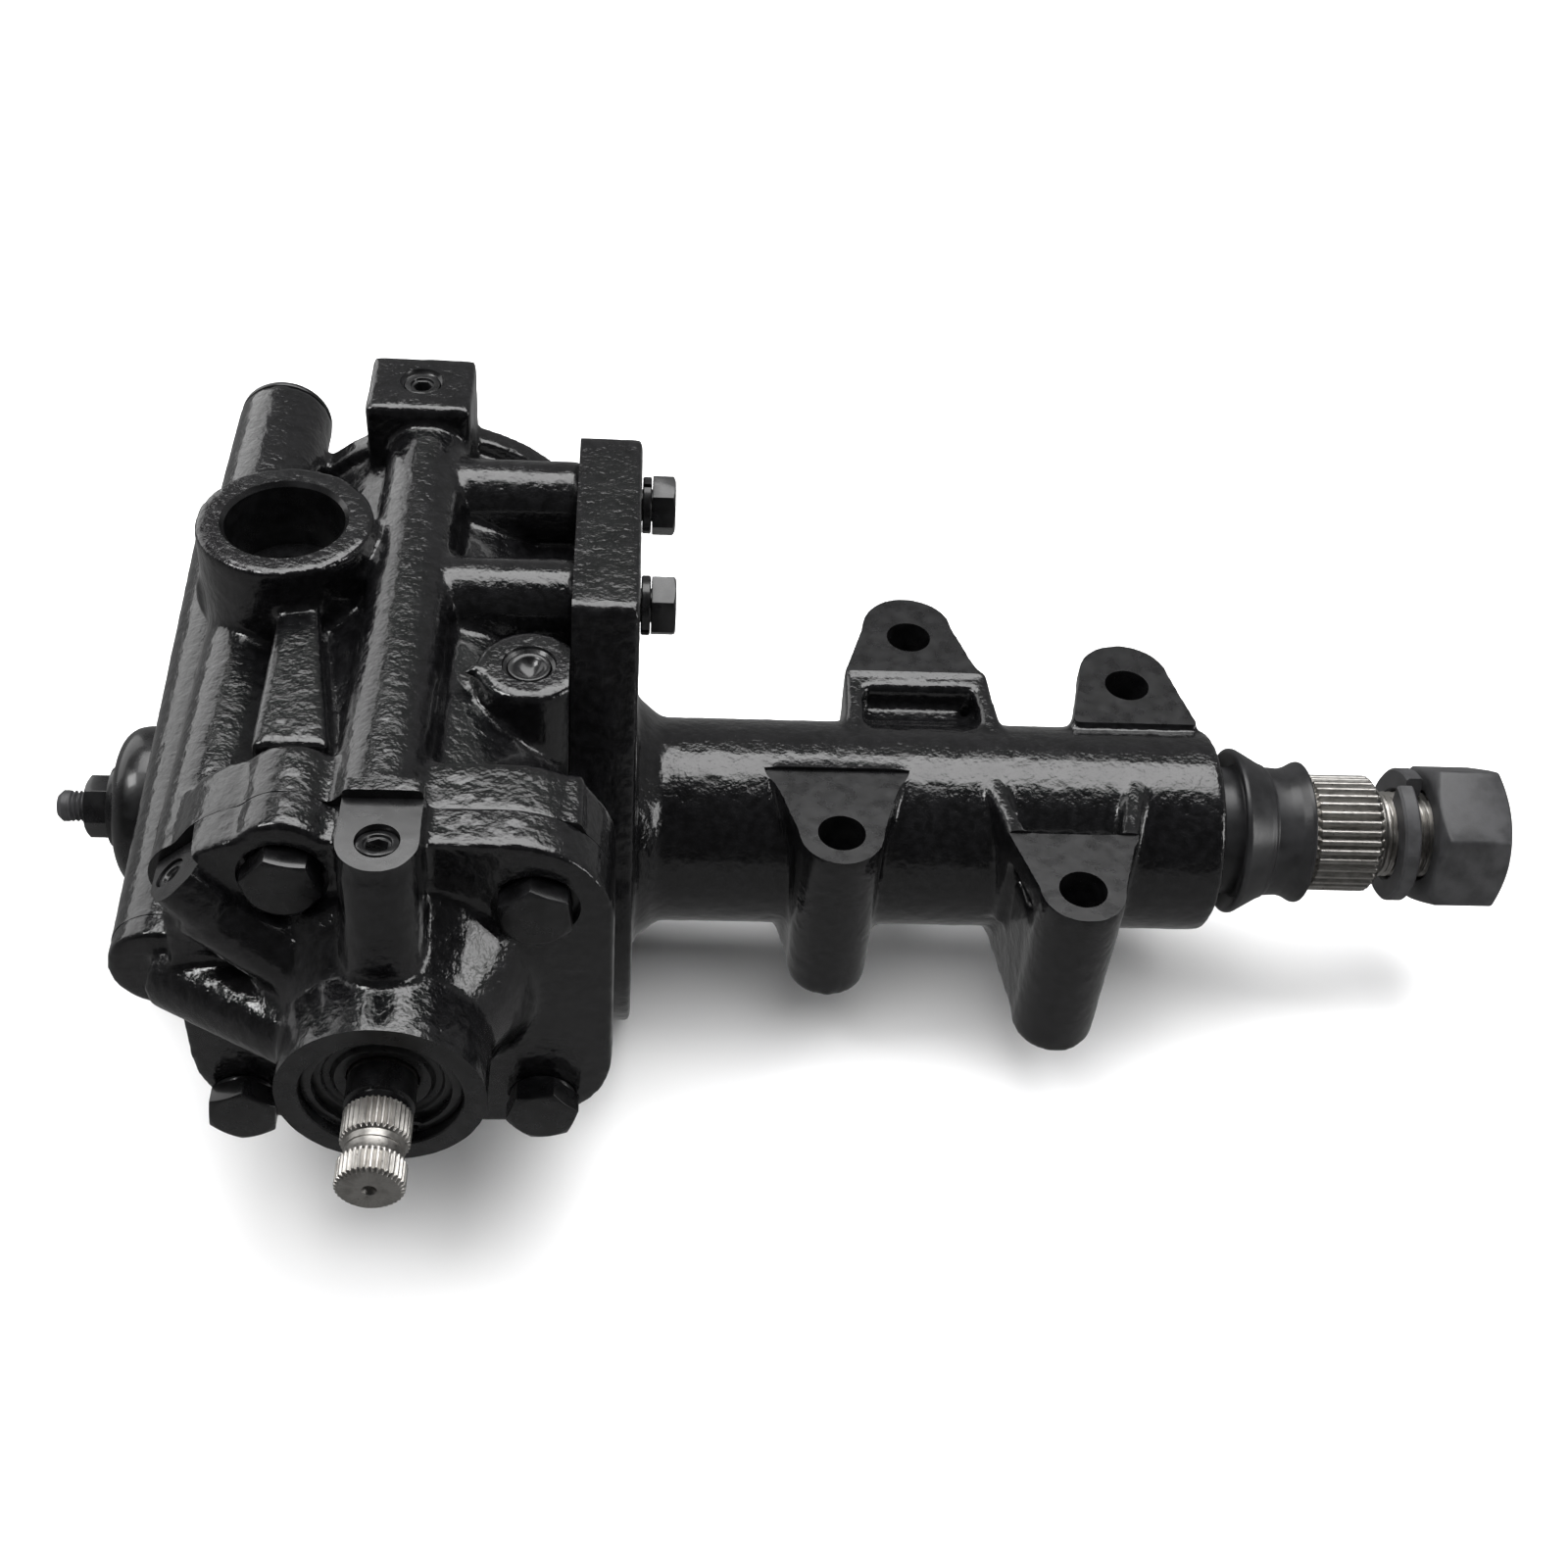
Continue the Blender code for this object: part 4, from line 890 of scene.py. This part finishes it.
def make_input_seals():
    at = (0.0, 0.0, WORM_Z)
    seal = [
        (-133.4, 19.7), (-138.6, 19.7), (-138.6, 15.6), (-137.4, 15.0), (-137.4, 13.2), (-138.9, 12.2),
        (-138.4, 9.2), (-136.8, 9.2), (-134.8, 11.0), (-134.8, 17.8), (-133.4, 17.8),
    ]
    placed("input_oil_seal_look", turned(seal, "Y", FINE, at, 0.35), ["seal_rubber"])
    band = ring(-141.2, -139.8, 17.6, 20.3, ease=0.3)
    gap = box((2.0, -142, WORM_Z - 25), (6.5, -139, WORM_Z - 15))
    ears = [y_rod(-141.2, -139.8, 2.3, x, WORM_Z - 16.4) for x in (1.0, 7.5)]
    holes = [y_rod(-143, -138, 0.9, x, WORM_Z - 16.2, sides=24) for x in (1.0, 7.5)]
    clip = softened_edges(solid([band, *ears], [gap, *holes]), 0.15)
    placed("input_snap_ring_look", clip, ["smooth_paint"])


PRESSURE_ANGLE = radians(25)
BACKLASH = 0.5


def involute_tooth(middle):
    """The (y, z) points of one sector tooth, pointing away from the axis at this angle."""
    base_r = SECTOR_PITCH_R * cos(PRESSURE_ANGLE)
    tip_r, root_r = SECTOR_PITCH_R + 3.0, SECTOR_PITCH_R - 4.4
    pitch_turn = tan(PRESSURE_ANGLE) - PRESSURE_ANGLE
    half = pi / 2 / SECTOR_TEETH - BACKLASH / 4 / SECTOR_PITCH_R
    flank = [(root_r - 1.5, half + pitch_turn)]
    for k in range(9):
        r = base_r + (tip_r - base_r) * k / 8
        roll = sqrt(max(0.0, (r / base_r) ** 2 - 1))
        flank.append((r, half + pitch_turn - (roll - atan(roll))))
    points = [(r, middle - a) for r, a in flank] + [(r, middle + a) for r, a in reversed(flank)]
    return [(r * cos(a), r * sin(a)) for r, a in points]


def make_sector_shaft():
    profile = stepped([
        (-77.0, 13.4), (-76.4, 14.0), (-27.0, 14.0), (-26.0, 17.4), (31.0, 17.4), (33.0, 18.6),
        (278.6, 18.6), (279.6, 17.4), (280.4, 18.8), (299.6, 18.9), (301.4, 16.8), (302.6, 14.0),
        (303.2, 14.0), (340.4, 14.0), (342.0, 12.4),
    ])
    ts, rs = zip(*profile)

    def radius(t, angles):
        r = np.interp(t, ts, rs) + np.zeros_like(angles)
        if 280.0 <= t <= 300.8:
            r = r - splines(t, angles, *PITMAN_SPLINE, PITMAN_SPLINE_DEPTH, SPLINE_TEETH)
        if 303.0 <= t <= 341.6:
            r = r - thread(t, angles, *PITMAN_THREAD)
        return r

    fine = [(279.6, 302.0, 0.75), (302.6, 342.0, 0.25)]
    shaft = grown(radius, stations_for(profile, fine, 12.0), 288, "X")
    middles = [pi / 2 + i * 2 * pi / SECTOR_TEETH for i in range(-2, 3)]
    teeth = [plate(involute_tooth(middle), 44.0, facing_x(0.0)) for middle in middles]
    dimple = turned([(339.6, 0.0), (342.4, 3.0), (343.0, 3.0), (343.0, 0.0)], "X", ROUND)
    shape = solid([shaft, *teeth], [x_rod(-80, -60.5, 8.4), dimple])
    placed("sector_shaft_look", shape, ["bright_steel"], sharp=40)


def make_adjuster():
    profile = stepped([
        (-116.0, 3.4), (-115.4, 4.0), (-114.4, 4.9), (-65.6, 4.9), (-65.5, 8.0), (-61.0, 8.0),
    ])
    ts, rs = zip(*profile)

    def radius(t, angles):
        r = np.interp(t, ts, rs) + np.zeros_like(angles)
        if ADJUSTER_THREAD[0] < t < ADJUSTER_THREAD[1]:
            r = r - thread(t, angles, *ADJUSTER_THREAD)
        return r

    screw = grown(radius, stations_for(profile, [(-116.0, -79.0, 0.2)], 5.0), 72, "X")
    placed("adjuster_screw_look", screw, ["black_oxide"])
    nut = hex_head("X", -107.0, -99.6, 17.0, (0, 0, 0), 46, True, False)
    nut = solid([nut], [x_rod(-110, -90, 5.2)])
    placed("adjuster_lock_nut_look", nut, ["smooth_paint"])


def make_output_end():
    boot = [
        (277.6, 19.3), (277.6, 22.9), (276.4, 22.9), (273.6, 21.3), (271.0, 20.6), (265.6, 20.9),
        (264.9, 21.7), (263.4, 22.2), (255.4, 26.7), (254.0, 26.7), (253.4, 25.4), (256.6, 21.6),
        (255.0, 20.6), (246.4, 20.6), (246.4, 19.0), (270.0, 19.0),
    ]
    placed("dust_boot_look", turned(boot, "X", FINE, ease=0.5), ["boot_rubber"])
    washer = split_washer(308.0, 313.4, 14.5, 21.7, (0.0, 0.0, 0.0), 84, 4.4)
    placed("pitman_spring_washer_look", washer, ["black_oxide"])
    nut = hex_head("X", 318.0, 341.7, 43.5, (0, 0, 0), 20, True, True)
    bore = [
        (350.0, 0.0), (350.0, 18.0), (343.6, 16.6), (340.0, 14.3), (319.6, 14.3), (316.0, 16.6),
        (310.0, 18.0), (310.0, 0.0),
    ]
    nut = solid([nut], [turned(bore, "X", FINE)])
    placed("pitman_nut_look", nut, ["black_oxide"])


# Materials


def smooth_range(tree, value, low, high, to_low, to_high):
    """A node that turns low..high into to_low..to_high with soft ends, and clamps beyond them."""
    made = tree.nodes.new("ShaderNodeMapRange")
    made.interpolation_type = "SMOOTHSTEP"
    tree.links.new(value, made.inputs["Value"])
    numbers = {"From Min": low, "From Max": high, "To Min": to_low, "To Max": to_high}
    for name, number in numbers.items():
        made.inputs[name].default_value = number
    return made.outputs["Result"]


class Shader:
    """A material's node tree, with short names for the nodes that its looks are made of."""

    def __init__(self, name):
        self.material = bpy.data.materials.new(name)
        self.material.use_nodes = True
        self.tree = self.material.node_tree
        self.main = self.tree.nodes["Principled BSDF"]
        self.place = self.tree.nodes.new("ShaderNodeTexCoord").outputs["Object"]

    def set(self, **values):
        for name, value in values.items():
            self.link(value, self.main.inputs[name.replace("_", " ")])

    def node(self, kind, **settings):
        made = self.tree.nodes.new(kind)
        for name, value in settings.items():
            setattr(made, name, value)
        return made

    def link(self, value, socket):
        """Links another node's output to the socket, or sets the socket to a plain value."""
        if hasattr(value, "is_linked"):
            self.tree.links.new(value, socket)
        else:
            socket.default_value = value

    def scaled(self, *scale):
        mapping = self.node("ShaderNodeMapping")
        mapping.inputs["Scale"].default_value = scale
        self.tree.links.new(self.place, mapping.inputs["Vector"])
        return mapping.outputs["Vector"]

    def noise(self, size_mm, detail=2.0, roughness=0.5, distortion=0.0, place=None):
        """Noise whose features are about this large."""
        made = self.node("ShaderNodeTexNoise")
        made.inputs["Scale"].default_value = 1000.0 / size_mm
        made.inputs["Detail"].default_value = detail
        made.inputs["Roughness"].default_value = roughness
        made.inputs["Distortion"].default_value = distortion
        self.tree.links.new(place or self.place, made.inputs["Vector"])
        return made.outputs["Fac"]

    def cells(self, size_mm):
        """The distance to the nearest of scattered points, about this far apart."""
        made = self.node("ShaderNodeTexVoronoi", feature="F1")
        made.inputs["Scale"].default_value = 1000.0 / size_mm
        self.tree.links.new(self.place, made.inputs["Vector"])
        return made.outputs["Distance"]

    def math(self, operation, a, b):
        made = self.node("ShaderNodeMath", operation=operation)
        self.link(a, made.inputs[0])
        self.link(b, made.inputs[1])
        return made.outputs[0]

    def range(self, value, *limits):
        return smooth_range(self.tree, value, *limits)

    def mix(self, share, first, second):
        made = self.node("ShaderNodeMix", data_type="RGBA")
        self.link(share, made.inputs["Factor"])
        for colour, socket in ((first, made.inputs["A"]), (second, made.inputs["B"])):
            self.link(colour if hasattr(colour, "is_linked") else (*colour, 1.0), socket)
        return made.outputs["Result"]

    def two_tones(self, pattern, limits, first, second):
        """The first colour where the pattern is low, and the second where it is high."""
        return self.mix(self.range(pattern, *limits, 0, 1), first, second)

    def bump(self, height, depth_mm):
        made = self.node("ShaderNodeBump")
        made.inputs["Distance"].default_value = depth_mm * MM
        self.link(height, made.inputs["Height"])
        return made.outputs["Normal"]


def cast_paint():
    s = Shader("cast_paint")
    broad = s.noise(9.0, 2.0)
    grain = s.noise(2.6, 2.0, 0.5, 0.2)
    ripple = s.noise(1.2, 2.0, 0.5)
    height = s.math("ADD", grain, s.math("MULTIPLY", ripple, 0.4))
    s.set(
        Base_Color=s.two_tones(grain, (0.3, 0.75), (0.002, 0.002, 0.0022), (0.005, 0.005, 0.0055)),
        Roughness=s.range(broad, 0.3, 0.7, 0.15, 0.24),
        Normal=s.bump(height, 0.36),
        Coat_Weight=0.55,
        Coat_Roughness=0.04,
    )
    return s.material


def smooth_paint():
    s = Shader("smooth_paint")
    flow = s.noise(4.5, 2.0)
    fine = s.noise(0.8, 2.0)
    height = s.math("ADD", flow, s.math("MULTIPLY", fine, 0.12))
    s.set(
        Base_Color=s.two_tones(flow, (0.35, 0.7), (0.003, 0.003, 0.0032), (0.007, 0.007, 0.0075)),
        Roughness=s.range(s.noise(6.0, 3.0), 0.3, 0.7, 0.24, 0.36),
        Normal=s.bump(height, 0.07),
        Coat_Weight=0.35,
        Coat_Roughness=0.1,
    )
    return s.material


def bright_steel():
    s = Shader("bright_steel")
    rough = s.noise(1.1, 4.0, 0.65)
    stain = s.noise(4.0, 3.0, 0.6)
    specks = s.cells(2.6)
    colour = s.two_tones(stain, (0.35, 0.75), (0.52, 0.505, 0.48), (0.36, 0.345, 0.325))
    colour = s.mix(s.range(specks, 0.05, 0.14, 0.75, 0.0), colour, (0.13, 0.12, 0.11))
    s.set(
        Base_Color=colour,
        Metallic=1.0,
        Roughness=s.range(rough, 0.3, 0.7, 0.3, 0.5),
        Normal=s.bump(rough, 0.05),
    )
    return s.material


def black_oxide():
    s = Shader("black_oxide")
    cloud = s.noise(7.0, 3.0, 0.6)
    grit = s.noise(0.5, 3.0)
    streak = s.noise(1.0, 3.0, 0.6, place=s.scaled(0.12, 1.0, 1.0))
    colour = s.two_tones(cloud, (0.3, 0.7), (0.02, 0.02, 0.021), (0.036, 0.036, 0.038))
    colour = s.mix(s.range(streak, 0.66, 0.8, 0.0, 0.35), colour, (0.09, 0.088, 0.085))
    s.set(
        Base_Color=colour,
        Roughness=s.range(cloud, 0.3, 0.7, 0.36, 0.5),
        Normal=s.bump(grit, 0.02),
        Metallic=0.0,
    )
    return s.material


def boot_rubber():
    s = Shader("boot_rubber")
    cloud = s.noise(8.0, 2.0)
    grain = s.noise(0.45, 2.0)
    s.set(
        Base_Color=s.two_tones(cloud, (0.3, 0.7), (0.008, 0.008, 0.0085), (0.015, 0.015, 0.016)),
        Roughness=s.range(cloud, 0.3, 0.7, 0.3, 0.4),
        Normal=s.bump(grain, 0.012),
    )
    return s.material


def seal_rubber():
    s = Shader("seal_rubber")
    cloud = s.noise(3.0, 3.0)
    s.set(
        Base_Color=s.two_tones(cloud, (0.3, 0.7), (0.006, 0.006, 0.0065), (0.014, 0.014, 0.014)),
        Roughness=s.range(cloud, 0.3, 0.7, 0.26, 0.4),
        Normal=s.bump(cloud, 0.03),
    )
    return s.material


def ground_steel():
    s = Shader("ground_steel")
    grain = s.noise(0.5, 3.0, 0.6)
    oil = s.noise(9.0, 2.0)
    s.set(
        Base_Color=s.two_tones(oil, (0.3, 0.7), (0.62, 0.62, 0.63), (0.5, 0.49, 0.46)),
        Metallic=1.0,
        Roughness=s.range(grain, 0.3, 0.7, 0.16, 0.28),
        Normal=s.bump(grain, 0.006),
    )
    return s.material


def phosphate():
    s = Shader("phosphate")
    grain = s.noise(0.6, 4.0, 0.6)
    cloud = s.noise(6.0, 2.0)
    s.set(
        Base_Color=s.two_tones(cloud, (0.3, 0.7), (0.045, 0.045, 0.047), (0.085, 0.084, 0.08)),
        Metallic=0.7,
        Roughness=s.range(grain, 0.3, 0.7, 0.4, 0.58),
        Normal=s.bump(grain, 0.02),
    )
    return s.material


def ring_bronze():
    s = Shader("ring_bronze")
    grain = s.noise(0.7, 3.0, 0.6)
    s.set(
        Base_Color=s.two_tones(grain, (0.3, 0.7), (0.45, 0.28, 0.12), (0.33, 0.2, 0.09)),
        Metallic=1.0,
        Roughness=s.range(grain, 0.3, 0.7, 0.26, 0.4),
        Normal=s.bump(grain, 0.01),
    )
    return s.material


def floor_paint():
    s = Shader("studio_floor")
    cloud = s.noise(60.0, 3.0)
    s.set(
        Base_Color=s.two_tones(cloud, (0.3, 0.7), (0.9, 0.9, 0.9), (0.88, 0.88, 0.885)),
        Roughness=s.range(cloud, 0.3, 0.7, 0.6, 0.7),
    )
    return s.material


PAINTS = {
    made.name: made
    for made in (
        maker()
        for maker in (
            cast_paint, smooth_paint, bright_steel, black_oxide, boot_rubber, seal_rubber, ground_steel,
            phosphate, ring_bronze, floor_paint,
        )
    )
}
CAD_LOOKS = {  # the look of each CAD node that stays, by its record's slot
    "bearing_steel": "ground_steel",
    "dark_steel": "phosphate",
    "bare_steel": "bright_steel",
    "rubber": "seal_rubber",
    "bronze": "ring_bronze",
    "black_paint": "smooth_paint",
}


def paint_kept_nodes():
    """Gives each CAD node that stays its material, by the slot that the record names."""
    slots = {part["node"]: part["material_slot"] for part in frame["record"]["subparts"]}
    for name, node in frame["nodes"].items():
        if not node.hide_render:
            for slot in node.material_slots:
                slot.material = PAINTS[CAD_LOOKS[slots[name]]]


# Studio


FLOOR_HALF = 6.0
# Name, place, the point that it faces, size and power of each light that reflects in the paint
LIGHTS = (
    ("overhead_strip", (0.1, 0.42, 1.2), (0.05, 0.0, 0.08), (1.3, 0.75), 14.0),
    ("high_left", (-0.77, -0.07, 1.2), (-0.1, 0.0, 0.1), (0.36, 0.36), 4.6),
    ("left_softbox", (-1.1, 0.85, 0.55), (-0.1, 0.0, 0.1), (1.3, 0.9), 5.0),
    ("right_softbox", (1.2, -0.35, 0.45), (0.0, 0.0, 0.08), (0.35, 0.6), 3.2),
)
DARK_SIDE = (0.0, -0.72, 0.69)  # the sky is darkest this way, and grey away from it
SKY = (0.0, 0.75, 0.17, 0.03)  # range of the turn towards the dark side, and its brightness
GROUND = (-0.12, 0.06, 0.2, 0.0)  # range of the height, and its brightness


def area_light(name, place, target, size, power):
    light = bpy.data.lights.new(name, "AREA")
    light.shape = "RECTANGLE"
    light.size, light.size_y = size
    light.energy = power
    obj = new_object(name, light)
    way = Vector(target) - Vector(place)
    obj.matrix_world = Matrix.Translation(place) @ way.to_track_quat("-Z", "Y").to_matrix().to_4x4()
    return obj


def make_studio():
    work = bmesh.new()
    bmesh.ops.create_grid(work, x_segments=2, y_segments=2, size=FLOOR_HALF)
    floor = from_bmesh(work, "studio_floor")
    floor.data.materials.append(PAINTS["studio_floor"])
    floor.visible_glossy = False
    fill = area_light("floor_fill", (0.0, 0.0, 2.2), (0.0, 0.0, 0.0), (3.0, 3.0), 112.0)
    fill.visible_glossy = False
    for light in LIGHTS:
        area_light(*light)
    world = bpy.data.worlds.new("studio")
    bpy.context.scene.world = world
    world.use_nodes = True
    tree = world.node_tree
    background = tree.nodes["Background"]
    direction = tree.nodes.new("ShaderNodeTexCoord").outputs["Generated"]
    facing = tree.nodes.new("ShaderNodeVectorMath")
    facing.operation = "DOT_PRODUCT"
    facing.inputs[1].default_value = DARK_SIDE
    tree.links.new(direction, facing.inputs[0])
    split = tree.nodes.new("ShaderNodeSeparateXYZ")
    tree.links.new(direction, split.inputs["Vector"])
    brightest = tree.nodes.new("ShaderNodeMath")
    brightest.operation = "MAXIMUM"
    tree.links.new(smooth_range(tree, facing.outputs["Value"], *SKY), brightest.inputs[0])
    tree.links.new(smooth_range(tree, split.outputs["Z"], *GROUND), brightest.inputs[1])
    backdrop = tree.nodes.new("ShaderNodeMath")  # white behind the floor, for the camera only
    backdrop.operation = "MAXIMUM"
    tree.links.new(brightest.outputs[0], backdrop.inputs[0])
    seen = tree.nodes.new("ShaderNodeLightPath").outputs["Is Camera Ray"]
    tree.links.new(seen, backdrop.inputs[1])
    tree.links.new(backdrop.outputs[0], background.inputs["Color"])
    background.inputs["Strength"].default_value = 1.0
    bpy.context.scene.view_settings.view_transform = "Standard"


def make_camera():
    camera = bpy.data.cameras.new("camera")
    camera.sensor_width = 36.0
    camera.lens = 47.36
    camera.clip_start = 0.01
    obj = new_object("camera", camera)
    right = Vector((0.99676, -0.03934, 0.07013))
    up = Vector((-0.02268, 0.69923, 0.71454))
    back = right.cross(up)
    turn = Matrix((right, up, back)).transposed().to_4x4()
    obj.matrix_world = Matrix.Translation(ORIGIN + Vector((59.2, -462.7, 467.7)) * MM) @ turn
    bpy.context.scene.camera = obj


make_gear_housing()
make_valve_housing()
make_sector_housing()
make_covers()
make_plugs()
make_valve_housing_bolts()
make_sector_housing_bolts()
make_input_shaft()
make_input_seals()
make_sector_shaft()
make_adjuster()
make_output_end()
paint_kept_nodes()
make_studio()
make_camera()
